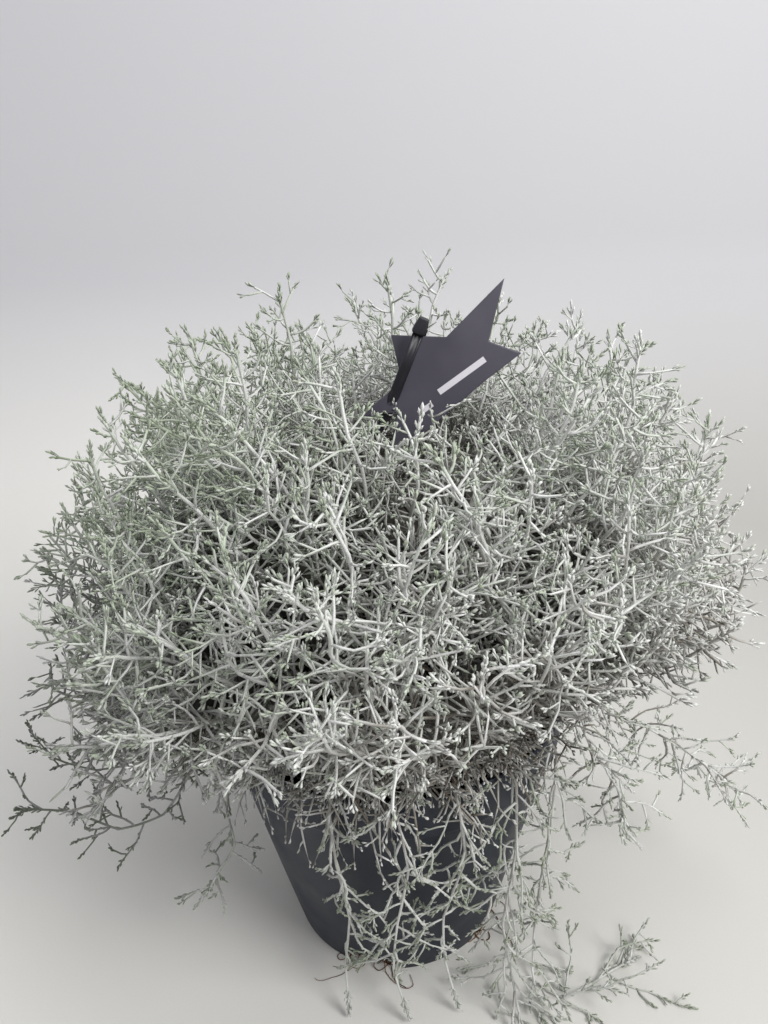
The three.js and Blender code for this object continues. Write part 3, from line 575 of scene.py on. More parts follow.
        # Painted shade: places past the rim and close above the underside get less depth, so their twigs are
        # drawn darker.
        above = np.clip((places[:, 2] - self.underside(places)) / self.under_reach, 0, 1)
        shaded = self.under_shade * (1 - above) * np.clip(across * 4 - 4, 0, 1)
        return np.maximum(dome, low * np.minimum(across, 1)) - shaded

    def underside(self, places: Array) -> Array:
        """Returns the height of the dome's underside at places: a cone from the rim to the lower edge."""
        away = places - np.array(self.middle)
        azimuth = np.arctan2(away[:, 1], away[:, 0])
        edge = self.surface(self.reach(azimuth), azimuth)
        near, height = self.rim
        share = np.clip((from_axis(places) - near) / (from_axis(edge) - near), 0, 1)
        return mix(height, edge[:, 2], share**self.under_curve)

    def room(self, direction: Array) -> Array:
        """Returns the share of the stems that have room, fewer at the front, where the dome is cut short."""
        angle = np.arccos(np.clip(direction[:, 2], math.cos(self.spread), 0.995))
        reach = self.reach(np.arctan2(direction[:, 1], direction[:, 0]))
        area = np.sin(angle / self.spread * reach) * reach / (np.sin(angle) * self.spread)
        return np.clip(mix(self.least_room, 1.0, (area - 0.4) / 0.5), self.least_room, 1.0)

    def outwards(self, places: Array) -> Array:
        """Returns the unit directions from the dome's middle to places."""
        return unit(places - np.array(self.middle))

    def owners(self, directions: Array) -> Array:
        """Returns which leafy stem's space each direction lies in."""
        return np.argmax(directions @ self.seeds().T, axis=1)


class Finish(Enum):
    """The record's material slots."""

    POT = "pot_plastic"
    SOIL = "soil"
    LEAF = "silver_leaf"
    ROOT = "root"
    TAG = "tag_card"
    STAKE = "stake_plastic"


def new_material(name: str) -> tuple[Material, Adder, bpy.types.Node]:
    """Makes a material with a Principled shader and an output.

    Args:
        name: The material's name.

    Returns:
        The material, a function that adds a node to it, and its shader node.
    """
    material = bpy.data.materials.new(name)
    material.use_nodes = True
    tree = material.node_tree
    tree.nodes.clear()
    output = tree.nodes.new("ShaderNodeOutputMaterial")
    shader = tree.nodes.new("ShaderNodeBsdfPrincipled")
    tree.links.new(shader.outputs["BSDF"], output.inputs["Surface"])
    return material, partial(add_node, tree), shader


def feed(node: bpy.types.Node, inputs: dict[Any, Any]) -> None:
    """Sets a node's inputs, by name or number, to values or to the sockets that they are linked from."""
    for name, value in inputs.items():
        if isinstance(value, Socket):
            node.id_data.links.new(value, node.inputs[name])
        else:
            node.inputs[name].default_value = value


def add_node(
    tree: bpy.types.NodeTree, kind: str, inputs: Any = (), out: str | int = 0, **settings: Any
) -> Socket:
    """Adds a node.

    Args:
        tree: The node tree.
        kind: The node's type, without the leading ShaderNode.
        inputs: Values or sockets, one after the other or by the name or number of the input.
        out: The name or number of the output that is wanted.
        **settings: Properties of the node, and a colour ramp's stops, each a place and an sRGB hex colour.

    Returns:
        The socket of that output.
    """
    node = tree.nodes.new("ShaderNode" + kind)
    stops = list(settings.pop("stops", ()))
    for name, value in settings.items():
        setattr(node, name, value)
    feed(node, inputs if isinstance(inputs, dict) else dict(enumerate(inputs)))
    if stops:
        elements = node.color_ramp.elements
        while len(elements) < len(stops):
            elements.new(0.5)
        for element, (place, colour) in zip(elements, stops):
            element.position = place
            element.color = linear(colour)
    return node.outputs[out]


@dataclass(frozen=True)
class FeltedLeaf:
    """Fine woolly hair on green tissue: matt and pale, with soft bright edges where the hair stands up.

    Single hairs are far finer than the render shows, so their clumps are drawn 0.6 mm wide. Shade is painted
    in:
    deep in the dome twigs take a dark shade colour, greener to the left, and the lower left is painted
    darker.
    """

    # gap, the near-black at the ramp's foot, is painted shade for the dome's heart; the last two colours are
    # painted shade deep in the dome, the second for its left.
    gap: str = "#25211a"
    dead: str = "#5c4d3c"
    old: str = "#98948a"
    felt: str = "#e7e8e5"
    young: str = "#b7c0ad"
    tip: str = "#8f9c81"
    shade: str = "#5e5b53"
    left_shade: str = "#2a3322"
    dimmed: float = 0.4
    dim_below: float = 350 * MM
    shade_from: float = 0.45
    shade_to: float = 0.87
    white_below: float = 230 * MM
    green_above: float = 400 * MM
    green_at: float = -180 * MM
    white_at: float = 0 * MM
    clump_mm: float = 0.6
    patch_mm: float = 22.0
    stops: tuple[float, ...] = (0.0, 0.08, 0.25, 0.5, 0.75, 1.0)
    patch_tone: float = 0.25
    height_tone: Span = (-0.45, 0.1)
    cool_tone: float = 0.5
    flecks: Span = (0.84, 1.1)
    hair_mm: float = 0.3
    roughness: float = 0.92
    sheen: float = 0.3
    specular: float = 0.2

    def material(self) -> Material:
        """Builds the node material."""
        material, add, shader = new_material("felted_leaf")
        tone, depth = [add("Attribute", out="Fac", attribute_name=name) for name in ("tone", "depth")]
        place = add("TexCoord", out="Object")
        sizes = (self.patch_mm, self.clump_mm)
        noises = [{"Vector": place, "Scale": 1 / (size * MM), "Detail": 2.0} for size in sizes]
        patch, clump = [add("TexNoise", noise) for noise in noises]
        x, _, z = add("SeparateXYZ", (place,)).node.outputs
        drift = add("MapRange", (patch, 0.3, 0.7, -self.patch_tone, self.patch_tone))
        higher = add("MapRange", (z, self.white_below, self.green_above, *self.height_tone))
        cooler = add("MapRange", (x, self.white_at, self.green_at))
        # The tone shifts greener towards the left and towards the top.
        tone_shift = add("Math", (cooler, self.cool_tone, higher), operation="MULTIPLY_ADD")
        uneven = add("Math", (tone, drift), operation="ADD")
        aged = add("Math", (uneven, tone_shift), operation="ADD")
        half = add("Math", (aged, 0.5), operation="MULTIPLY")
        colours = (self.gap, self.dead, self.old, self.felt, self.young, self.tip)
        ramp = add("ValToRGB", (half,), stops=zip(self.stops, colours))
        fleck = add("MapRange", (clump, 0.25, 0.75, *self.flecks))
        # Painted shade: below dim_below the colour darkens towards the left, down to dimmed of itself at the
        # lowest left; the flecks are the hair's own.
        lower = add("MapRange", (z, self.dim_below, self.white_below, 0.0, 1 - self.dimmed))
        corner = add("Math", (lower, cooler), operation="MULTIPLY")
        dust_and_shade = add("Math", (1.0, corner), operation="SUBTRACT")
        flecked_and_shaded = add("Math", (fleck, dust_and_shade), operation="MULTIPLY")
        coat = add("Mix", {0: 1.0, 6: ramp, 7: flecked_and_shaded}, 2, data_type="RGBA", blend_type="MULTIPLY")
        # Painted shade: by the depth attribute, deep in the dome and near its underside the colour turns to
        # the shade colour, which is greener to the left.
        lit = add("MapRange", (depth, self.shade_from, self.shade_to), interpolation_type="SMOOTHSTEP")
        dark = add("Mix", {0: cooler, 6: linear(self.shade), 7: linear(self.left_shade)}, 2, data_type="RGBA")
        colour = add("Mix", {0: lit, 6: dark, 7: coat}, 2, data_type="RGBA")
        bump = add("Bump", {"Height": clump, "Strength": 0.5, "Distance": self.hair_mm * MM})
        feed(shader, {"Base Color": colour, "Normal": bump, "Roughness": self.roughness})
        feed(shader, {"Sheen Weight": self.sheen, "Specular IOR Level": self.specular})
        return material


@dataclass(frozen=True)
class Moulded:
    """Injection-moulded plastic: even colour, a satin gloss, rubbed patches, dust and fine scratches."""

    name: str
    colour: str
    dust: str
    roughness: float
    dust_share: float = 0.35
    patch_mm: float = 30.0
    grain_mm: float = 0.8
    ior: float = 1.5
    grain_depth_mm: float = 0.03
    streak_mm: float = 1.2
    streak_stretch: float = 0.06
    gloss_range: Span = (-0.08, 0.1)

    def material(self) -> Material:
        """Builds the node material."""
        material, add, shader = new_material(self.name)
        place = add("TexCoord", out="Object")
        upright = add("Mapping", {"Vector": place, "Scale": (1.0, 1.0, self.streak_stretch)})
        noises = ((place, self.patch_mm, 6.0), (place, self.grain_mm, 2.0), (upright, self.streak_mm, 3.0))
        patch, grain, streak = [
            add("TexNoise", {"Vector": at, "Scale": 1 / (size * MM), "Detail": detail})
            for at, size, detail in noises
        ]
        both = add("Math", (patch, streak), operation="MULTIPLY")
        spread = (both, 0.2, 0.42, 0.0, self.dust_share)
        dust_and_shade = add("MapRange", spread, interpolation_type="SMOOTHSTEP")
        colour = add("Mix", {0: dust_and_shade, 6: linear(self.colour), 7: linear(self.dust)}, 2, data_type="RGBA")
        gloss = add("MapRange", (patch, 0.3, 0.7, *[self.roughness + more for more in self.gloss_range]))
        bump = add("Bump", {"Height": grain, "Strength": 0.6, "Distance": self.grain_depth_mm * MM})
        feed(shader, {"Base Color": colour, "Roughness": gloss, "Normal": bump, "IOR": self.ior})
        return material


@dataclass(frozen=True)
class Crumbly:
    """Damp peat or dry root: matt, dark and uneven, with lighter fibres in it."""

    name: str
    dark: str
    middle: str
    pale: str
    lump_mm: float
    fibre_mm: float
    roughness: float = 0.95
    specular: float = 0.25
    depth_mm: float = 1.2
    flick: float = 0.12
    stops: Triple = (0.3, 0.52, 0.72)

    def material(self) -> Material:
        """Builds the node material."""
        material, add, shader = new_material(self.name)
        place = add("TexCoord", out="Object")
        lump = add("TexNoise", {"Vector": place, "Scale": 1 / (self.lump_mm * MM), "Detail": 5.0})
        fibre = add("TexVoronoi", {"Vector": place, "Scale": 1 / (self.fibre_mm * MM)})
        flick = add("MapRange", (fibre, 0.0, 0.7, self.flick, -self.flick))
        mixed = add("Math", (lump, flick), operation="ADD")
        ramp = add("ValToRGB", (mixed,), stops=zip(self.stops, (self.dark, self.middle, self.pale)))
        bump = add("Bump", {"Height": mixed, "Strength": 0.9, "Distance": self.depth_mm * MM})
        feed(shader, {"Base Color": ramp, "Normal": bump})
        feed(shader, {"Roughness": self.roughness, "Specular IOR Level": self.specular})
        return material


@dataclass(frozen=True)
class PotShape:
    """The sizes of the pot, which its soil, its roots and the stems near it keep to."""

    height: float = 190 * MM
    rim_radius: float = 113.5 * MM
    base_radius: float = 75 * MM
    wall: float = 2 * MM
    floor: float = 3 * MM
    band_foot: float = 159 * MM
    band_step: float = 2.5 * MM
    band_taper: float = 2.5 * MM
    notch_count: int = 5
    notch_first: float = math.radians(-32)
    notch_width: float = 40 * MM
    notch_height: float = 13 * MM
    notch_inner: float = 60 * MM
    notch_shoulder: float = 0.35
    skin: float = 1 * MM

    def radius(self, height: Array) -> Array:
        """Returns the pot's outer radius at heights."""
        band = self.rim_radius - self.band_taper
        wall = mix(self.base_radius, band - self.band_step, np.maximum(0, height) / self.band_foot)
        rim = mix(band, self.rim_radius, (height - self.band_foot) / (self.height - self.band_foot))
        return np.where(height < self.band_foot, wall, rim)

    def clear(self, places: Array, gap: float) -> Array:
        """Moves places out of the pot and off the floor, with a gap left.

        Args:
            places: The places, one in each row.
            gap: The gap.

        Returns:
            The moved places.
        """
        height = np.maximum(places[:, 2], gap)
        across = np.maximum(from_axis(places), 1e-9)
        least = np.where(height < self.height + gap, self.radius(height) + gap, 0.0)
        out = np.maximum(across, least) / across
        return np.stack([places[:, 0] * out, places[:, 1] * out, height], 1)

    def pierced(self, sticks: Sticks) -> Array:
        """Tells which sticks cut through the wall or the rim."""
        cut = np.zeros(len(sticks), bool)
        for share in np.linspace(0, 1, 13):
            place = sticks.at(np.full(len(sticks), share))
            across, outside = from_axis(place), self.radius(place[:, 2])
            in_wall = (across > outside - self.wall - self.skin) & (across < outside + self.skin)
            cut |= in_wall & (place[:, 2] < self.height + self.skin)
        return cut

    def notch(self, azimuth: Array) -> Array:
        """Returns how high the notches reach at azimuths, 0 between them."""
        step = 2 * math.pi / self.notch_count
        away = (azimuth - self.notch_first + step / 2) % step - step / 2
        share = np.abs(away) * self.base_radius / (self.notch_width / 2)
        arch = self.notch_shoulder + (1 - self.notch_shoulder) * np.sqrt(np.maximum(0, 1 - share**3))
        return np.where(share < 1, arch * self.notch_height, 0.0)


@dataclass(frozen=True)
class TagShape:
    """The tag's place and outline, which the stems in front of it leave free."""

    middle: Triple = (33 * MM, -4 * MM, 390 * MM)
    lean: float = math.radians(14)
    thickness: float = 0.9 * MM
    outline_mm: tuple[Span, ...] = (
        (35, 52), (26, 19), (44, 12), (23, -3), (-31, -47),
        (-25, -18), (-46, -20), (-22, -1), (-27, 24), (3, 22),
    )
    view_half_width: float = 47 * MM
    view_depth: float = 130 * MM
    view_back: float = -6 * MM
    view_slope: float = 0.3
    view_foot: float = -14 * MM

    def spots(self, across: Any, upwards: Any, out: Any) -> Array:
        """Returns places from distances across the tag, up it, and out of its face.

        Args:
            across: Distance to the right.
            upwards: Distance up the card.
            out: Distance out of its face.

        Returns:
            The places.
        """
        sine, cosine = math.sin(self.lean), math.cos(self.lean)
        x, y, z = self.middle
        back, high = upwards * sine - out * cosine, upwards * cosine + out * sine
        return np.stack([x + across, y + back, z + high], -1)

    def in_view(self, places: Array) -> Array:
        """Tells which places would hide the upper part of the tag from someone who reads it from above."""
        across = np.abs(places[:, 0] - self.middle[0])
        before = self.middle[1] - places[:, 1]
        above = places[:, 2] - self.middle[2] - self.view_slope * before
        near = (before > self.view_back) & (before < self.view_depth)
        return near & (across < self.view_half_width) & (above > self.view_foot)


@dataclass(frozen=True)
class CoatedCard:
    """Coated card, printed dark: silky, with two plain pale bars and a paler core at its cut edge."""

    shape: TagShape = TagShape()
    colour: str = "#3b3843"
    rubbed: str = "#4a4752"
    ink: str = "#d3d0d6"
    core: str = "#8f8c93"
    bars_mm: tuple[tuple[float, float, float, float], ...] = ((11.1, 0.9, 15.4, 1.7), (-9.2, -16.5, 4.6, 1.5))
    bar_turn: float = math.radians(34)
    bar_blur_mm: float = 0.12
    patch_mm: float = 40.0
    fibre_mm: float = 0.5
    fibre_depth_mm: float = 0.01
    roughness: float = 0.48
    gloss_range: Span = (-0.06, 0.1)

    def bar(self, add: Adder, place: Socket, sizes: tuple[float, ...]) -> Socket:
        """Adds the mask of one bar, 1 inside it.

        Args:
            add: The function that adds a node.
            place: The socket of object coordinates.
            sizes: The bar's middle across and up the card, and half its length and width, in mm.

        Returns:
            The mask's socket.
        """
        across, upwards, length, width = sizes
        middle = self.shape.spots(across * MM, upwards * MM, 0.0)
        away = add("VectorMath", (place, tuple(middle)), operation="SUBTRACT")
        masks = []
        for turn, half in ((self.bar_turn, length), (self.bar_turn + math.pi / 2, width)):
            rise = math.sin(turn)
            axis = (math.cos(turn), rise * math.sin(self.shape.lean), rise * math.cos(self.shape.lean))
            along = add("VectorMath", (away, axis), "Value", operation="DOT_PRODUCT")
            size = add("Math", (along,), operation="ABSOLUTE")
            fade = [(half + blur) * MM for blur in (self.bar_blur_mm, -self.bar_blur_mm)]
            masks.append(add("MapRange", (size, *fade)))
        return add("Math", masks, operation="MULTIPLY")

    def material(self) -> Material:
        """Builds the node material."""
        material, add, shader = new_material("coated_card")
        place = add("TexCoord", out="Object")
        patch = add("TexNoise", {"Vector": place, "Scale": 1 / (self.patch_mm * MM), "Detail": 5.0})
        fibre = add("TexNoise", {"Vector": place, "Scale": 1 / (self.fibre_mm * MM), "Detail": 2.0})
        rubbing = add("MapRange", (patch, 0.35, 0.7))
        face = add("Mix", {0: rubbing, 6: linear(self.colour), 7: linear(self.rubbed)}, 2, data_type="RGBA")
        normal = add("NewGeometry", out="True Normal")
        facing = (0.0, -math.cos(self.shape.lean), math.sin(self.shape.lean))
        turned = add("VectorMath", (normal, facing), "Value", operation="DOT_PRODUCT")
        front = add("MapRange", (turned, 0.3, 0.6))
        for sizes in self.bars_mm:
            printed = add("Math", (self.bar(add, place, sizes), front), operation="MULTIPLY")
            face = add("Mix", {0: printed, 6: face, 7: linear(self.ink)}, 2, data_type="RGBA")
        flat = add("Math", (turned,), operation="ABSOLUTE")
        edge = add("MapRange", (flat, 0.6, 0.3))
        colour = add("Mix", {0: edge, 6: face, 7: linear(self.core)}, 2, data_type="RGBA")
        gloss = add("MapRange", (patch, 0.3, 0.7, *[self.roughness + more for more in self.gloss_range]))
        bump = add("Bump", {"Height": fibre, "Strength": 0.4, "Distance": self.fibre_depth_mm * MM})
        feed(shader, {"Base Color": colour, "Roughness": gloss, "Normal": bump})
        return material


@dataclass(frozen=True)
class Tuft:
    """The short leaves that crowd round the end of a twig.

    Attributes:
        count: Number of leaves.
        reach: Length of twig that carries them.
        size: Least and greatest length of a leaf.
        radius: Half of a leaf's width.
        angle_deg: Angle between leaf and twig at the very tip and at the tuft's foot.
        stray_deg: How far a leaf strays from that angle.
        uneven: Least and greatest width of a leaf, as a share of what is given.
        greener: How much greener than the twig a leaf may be, and how much whiter its foot is.
        most: The most of a twig that leaves may cover.
        first: How far from the tip the first leaf stands, as a share of the way to the second.
    """

    count: int
    reach: float
    size: Span
    radius: float = 0.68 * MM
    angle_deg: Span = (5, 28)
    stray_deg: float = 8
    uneven: Span = (0.75, 1.25)
    greener: Span = (0.34, 0.15)
    most: float = 0.9
    first: float = 0.2


def leaves(sticks: Sticks, tuft: Tuft, seed: int) -> Sticks:
    """Returns the leaves at the ends of sticks.

    Args:
        sticks: The twigs.
        tuft: How the leaves stand.
        seed: Seed of the random draws.

    Returns:
        The leaves.
    """
    draw = np.random.default_rng(seed)
    which = np.repeat(np.arange(len(sticks)), tuft.count)
    order = np.tile(np.arange(tuft.count), len(sticks))
    total = len(which)
    covered = np.minimum(tuft.reach / sticks.lengths()[which], tuft.most)
    share = 1 - covered * (order + tuft.first) / tuft.count
    base = sticks.at(share, which)
    along = sticks.along(share, which)
    side, other = sideways(along)
    out = swung(side, other, order * GOLDEN_TURN + draw.uniform(0, 2 * math.pi, len(sticks))[which])
    angle = mix(*tuft.angle_deg, order / tuft.count) + draw.uniform(-tuft.stray_deg, tuft.stray_deg, total)
    direction = swung(along, out, np.radians(angle))
    length = draw.uniform(*tuft.size, total)[:, None]
    greener, whiter = tuft.greener
    tone = sticks.tone_end[which] + draw.uniform(0.0, greener, total)
    return Sticks.made(
        start=base,
        middle=base + direction * length * 0.5,
        end=base + direction * length,
        owner=sticks.owner[which],
        thick=tuft.radius * draw.uniform(*tuft.uneven, total),
        tone_start=tone - whiter,
        tone_end=tone,
        phase=draw.uniform(0, 2 * math.pi, total),
    )


@dataclass(frozen=True)
class Layer:
    """Leaders that end at about the same depth, and what grows on them.

    Attributes:
        leaders: Number of leaders, before the dome's shape takes some away.
        share: Least and greatest share of the way to the dome's surface at which they end.
        wander: How far their heads stray from the light.
        radius: Radius at the start and the end.
        steps: Number of stretches along each.
        branches: How branches stand on the leaders.
        twigs: How twigs stand on the branches.
        crest: The leaves at the leaders' ends.
        tuft: The leaves at the branches' ends.
        bud: The leaves at the twigs' ends.
    """

    leaders: int
    share: Span
    wander: float
    radius: Span
    steps: int
    branches: Habit
    twigs: Habit
    crest: Tuft
    tuft: Tuft
    bud: Tuft


@dataclass(frozen=True)
class Thatch:
    """The low shoots at the front, which hide the soil and lie on the rim.

    Attributes:
        count: Number of shoots.
        azimuth_deg: Where they stand round the pot.
        param_deg: The direction, from the top of the dome down, of the leafy stems that they belong to.
        root: Least and greatest distance from the axis at the soil.
        foot: Height at which they leave the soil.
        stray_deg: How far a shoot strays round the pot.
        arch: Least and greatest height of its bend above the rim.
        lying_share: Share of the shoots that lie on the rim.
        lying: Distance from the axis and height where these end, least and greatest.
        rising: The same for the others.
        hanging_share: Share of the shoots that hang over the rim.
        hanging: The same for these.
        hanging_to_deg: Where round the pot they end, as its right corner stays clear.
        over: Least and greatest height of their bend above the rim.
        bend_at: Where the bend of a shoot lies along it, or of one that hangs.
        sway_deg: How far they may lie askew on the pot.
        radius: Radius at the start and the end.
        dip: How far below its end's height a rising shoot bends, at most down to the rim.
        foot_tone: Least and greatest tone at the soil.
        end_tone: Least and greatest tone at the end.
        kink_mm: Least and greatest kink, in mm.
        shoots: How twigs stand on them.
        tuft: The leaves at their ends.
    """

    count: int = 640
    azimuth_deg: Span = (-180, -34)
    param_deg: float = 118
    root: Span = (45 * MM, 99 * MM)
    foot: float = 168 * MM
    stray_deg: float = 28
    arch: Span = (4 * MM, 32 * MM)
    lying_share: float = 0.5
    lying: tuple[float, float, float, float] = (78 * MM, 119 * MM, 183 * MM, 205 * MM)
    rising: tuple[float, float, float, float] = (95 * MM, 150 * MM, 205 * MM, 262 * MM)
    hanging_share: float = 0.16
    hanging: tuple[float, float, float, float] = (118 * MM, 130 * MM, 146 * MM, 186 * MM)
    hanging_to_deg: float = -64
    over: Span = (40 * MM, 70 * MM)
    bend_at: Span = (0.6, 0.75)
    sway_deg: float = 30
    radius: Span = (0.72 * MM, 0.6 * MM)
    dip: float = 20 * MM
    foot_tone: Span = (0.4, 0.8)
    end_tone: Span = (0.85, 1.2)
    kink_mm: Span = (0.4, 1.2)
    shoots: Habit = Habit(
        spacing=9.5 * MM, first=0.25, last=0.95, angle_deg=(45, 88), length=(8 * MM, 18 * MM), shrink=0.2,
        lift=0.25, thick=0.62 * MM, thin=0.56 * MM, tone=(0.8, 1.2), kink=0.7 * MM,
    )
    tuft: Tuft = Tuft(2, 2.5 * MM, (3 * MM, 4.6 * MM))


@dataclass
class Bush:
    """The dome: every leafy stem that grows up out of the pot."""

    crown: Crown = Crown()
    pot: PotShape = PotShape()
    tag: TagShape = TagShape()
    stem_radius: float = 2.6 * MM
    fork_share: Span = (0.3, 0.5)
    upward: Span = (0.2, 1.7)
    upward_between: Span = (195 * MM, 330 * MM)
    pull: Span = (0.4, 1.0)
    leafy: Span = (0.35, 1.0)
    hang_right: float = 28 * MM
    hang_most: float = 14 * MM
    turn_up: float = 1.3
    layers: tuple[Layer, ...] = (
        Layer(
            leaders=305, share=(0.95, 1.09), wander=0.3, radius=(1.0 * MM, 0.8 * MM), steps=14,
            branches=Habit(
                spacing=6.3 * MM, first=0.3, last=0.97, angle_deg=(55, 90), length=(22 * MM, 48 * MM),
                shrink=0.62, lift=0.8, thick=0.74 * MM, thin=0.65 * MM, tone=(0.95, 1.1), kink=1.1 * MM,
            ),
            twigs=Habit(
                spacing=10.0 * MM, first=0.25, last=0.9, angle_deg=(45, 82), length=(7 * MM, 16 * MM),
                shrink=0.3, lift=0.7, thick=0.6 * MM, thin=0.55 * MM, tone=(1.0, 1.25), kink=0.5 * MM,
            ),
            crest=Tuft(12, 14 * MM, (4.8 * MM, 6.8 * MM), radius=0.74 * MM),
            tuft=Tuft(5, 5 * MM, (4.6 * MM, 6.4 * MM)),
            bud=Tuft(3, 2.6 * MM, (4.2 * MM, 5.8 * MM), radius=0.64 * MM, angle_deg=(5, 24)),
        ),
        Layer(
            leaders=375, share=(0.7, 0.95), wander=0.55, radius=(0.95 * MM, 0.75 * MM), steps=10,
            branches=Habit(
                spacing=6.3 * MM, first=0.3, last=0.96, angle_deg=(50, 90), length=(20 * MM, 42 * MM),
                shrink=0.4, lift=0.5, thick=0.68 * MM, thin=0.6 * MM, tone=(0.9, 1.2), kink=1.0 * MM,
            ),
            twigs=Habit(
                spacing=9.5 * MM, first=0.2, last=0.92, angle_deg=(45, 88), length=(8 * MM, 18 * MM),
                shrink=0.3, lift=0.5, thick=0.6 * MM, thin=0.55 * MM, tone=(1.0, 1.35), kink=0.6 * MM,
            ),
            crest=Tuft(6, 12 * MM, (4.4 * MM, 6 * MM)),
            tuft=Tuft(3, 3.5 * MM, (4.2 * MM, 5.8 * MM)),
            bud=Tuft(2, 2 * MM, (3.6 * MM, 5.2 * MM), radius=0.64 * MM, angle_deg=(5, 20)),
        ),
    )
    dead: Habit = Habit(
        spacing=9.0 * MM, first=0.0, last=0.5, angle_deg=(35, 95), length=(22 * MM, 44 * MM), shrink=0.2,
        lift=0.2, thick=0.6 * MM, thin=0.45 * MM, tone=(0.3, 0.7), kink=0.9 * MM,
    )
    dead_depth: float = 0.8
    thatch: Thatch = Thatch()
    leader_spread: float = 0.97
    leader_stray: float = 0.06
    leader_bend: float = 0.45
    leader_tone: float = 0.6
    leader_tips: Span = (1.0, 1.2)
    leader_kink_mm: Span = (0.6, 1.3)
    leader_wave: float = 38 * MM
    stem_taper: float = 0.55
    stem_tones: Span = (0.05, 0.4)
    buried: float = 12 * MM
    # Painted shade: the heart's tone gives it the near-black gap colour of the shaded middle of the dome.
    heart_shade_tone: float = -0.4
    heart_share: tuple[float, ...] = (0.22, 0.32, 0.44, 0.55, 0.63, 0.67)
    heart_fill: tuple[float, ...] = (0.2, 0.45, 0.7, 0.8, 0.65, 0.3)
    heart_sides: int = 16
    heart_uneven: Span = (0.75, 1.1)
    heart_stray: float = 0.03

    def light(self, places: Array) -> Array:
        """Returns the direction that shoots turn to: outwards and up, and less strongly low in the dome."""
        share = self.height_share(places)
        way = unit(self.crown.outwards(places) + UP * mix(*self.upward, share)[:, None])
        return way * mix(*self.pull, share)[:, None]

    def height_share(self, places: Array) -> Array:
        """Returns how high places lie in the dome, from 0 near the rim to 1 in its upper half."""
        low, high = self.upward_between
        return np.clip((places[:, 2] - low) / (high - low), 0, 1)

    def clothed(self, sticks: Sticks, seed: int) -> Sticks:
        """Returns the shoots that carry leaves, which are fewer low down."""
        share = mix(*self.leafy, self.height_share(sticks.end))
        return sticks.take(np.random.default_rng(seed).random(len(sticks)) < share)

    def leaders(self, layer: Layer, seed: int) -> Sticks:
        """Returns a layer's leaders, each from a fork on its stem outwards.

        Args:
            layer: The layer.
            seed: Seed of the random draws.

        Returns:
            The leaders.
        """
        draw = np.random.default_rng(seed)
        way = self.crown.directions(layer.leaders, self.crown.spread * self.leader_spread, seed)
        way = unit(way + draw.normal(0, self.leader_stray, way.shape))
        way = way[draw.random(len(way)) < self.crown.room(way)]
        owner = self.crown.owners(way)
        total = len(way)
        fork = self.crown.place(self.crown.seeds()[owner], draw.uniform(*self.fork_share, total))
        end = self.crown.place(way, draw.uniform(*layer.share, total))
        heading = unit(self.light(end) + draw.normal(0, layer.wander, (total, 3)))
        length = np.linalg.norm(end - fork, axis=1)
        return Sticks.made(
            start=fork,
            middle=end - heading * length[:, None] * self.leader_bend,
            end=end,
            owner=owner,
            thick=layer.radius[0],
            thin=layer.radius[1],
            tone_start=self.leader_tone,
            tone_end=draw.uniform(*self.leader_tips, total),
            kink=draw.uniform(*self.leader_kink_mm, total) * MM,
            waves=length / self.leader_wave,
            phase=draw.uniform(0, 2 * math.pi, total),
        )

    def low_shoots(self, seed: int) -> Sticks:
        """Returns the low shoots at the front, without those that would cut through the pot's wall."""
        thatch = self.thatch
        draw = np.random.default_rng(seed)
        total = thatch.count
        azimuth = np.radians(draw.uniform(*thatch.azimuth_deg, total))
        kind = draw.random(total)
        hangs = (kind > 1 - thatch.hanging_share) & (azimuth < math.radians(thatch.hanging_to_deg))
        spans = np.where((kind < thatch.lying_share)[:, None], thatch.lying, thatch.rising)
        near, far, low, high = np.where(hangs[:, None], thatch.hanging, spans).T
        root, out, up, arch = draw.uniform(0, 1, (4, total))
        up = mix(low, high, up)
        turned = azimuth + np.radians(draw.normal(0, thatch.stray_deg, total))
        start = polar(mix(*thatch.root, root), azimuth, thatch.foot)
        end = self.pot.clear(polar(mix(near, far, out), turned, up), TWIG_GAP)
        middle = mix(start, end, np.where(hangs, *reversed(thatch.bend_at))[:, None])
        swayed = turned + hangs * mix(-1, 1, arch) * math.radians(thatch.sway_deg)
        end = polar(from_axis(end), swayed, end[:, 2])
        above = np.where(hangs, mix(*thatch.over, arch), mix(*thatch.arch, arch))
        middle[:, 2] = np.maximum(self.pot.height, up - thatch.dip) + above
        angle = math.radians(thatch.param_deg)
        sticks = Sticks.made(
            start=start,
            middle=middle,
            end=end,
            owner=self.crown.owners(polar(math.sin(angle), turned, math.cos(angle))),
            thick=thatch.radius[0],
            thin=thatch.radius[1],
            tone_start=draw.uniform(*thatch.foot_tone, total),
            tone_end=draw.uniform(*thatch.end_tone, total),
            kink=draw.uniform(*thatch.kink_mm, total) * MM,
            waves=np.linalg.norm(end - start, axis=1) / KINK_LENGTH,
            phase=draw.uniform(0, 2 * math.pi, total),
        )
        return sticks.take(~self.pot.pierced(sticks))

    def stems(self) -> Sticks:
        """Returns the brown stem that each leafy stem of the frame stands on."""
        seeds = self.crown.seeds()
        total = len(seeds)
        foot = self.crown.place(seeds, np.zeros(total))
        top = self.crown.place(seeds, np.full(total, self.fork_share[1]))
        bend = self.crown.place(seeds, np.full(total, self.fork_share[1] / 2))
        return Sticks.made(
            start=foot - UP * self.buried,
            middle=bend * 2 - (foot + top) / 2,
            end=top,
            owner=np.arange(total),
            thick=self.stem_radius,
            thin=self.stem_radius * self.stem_taper,
            tone_start=self.stem_tones[0],
            tone_end=self.stem_tones[1],
        )

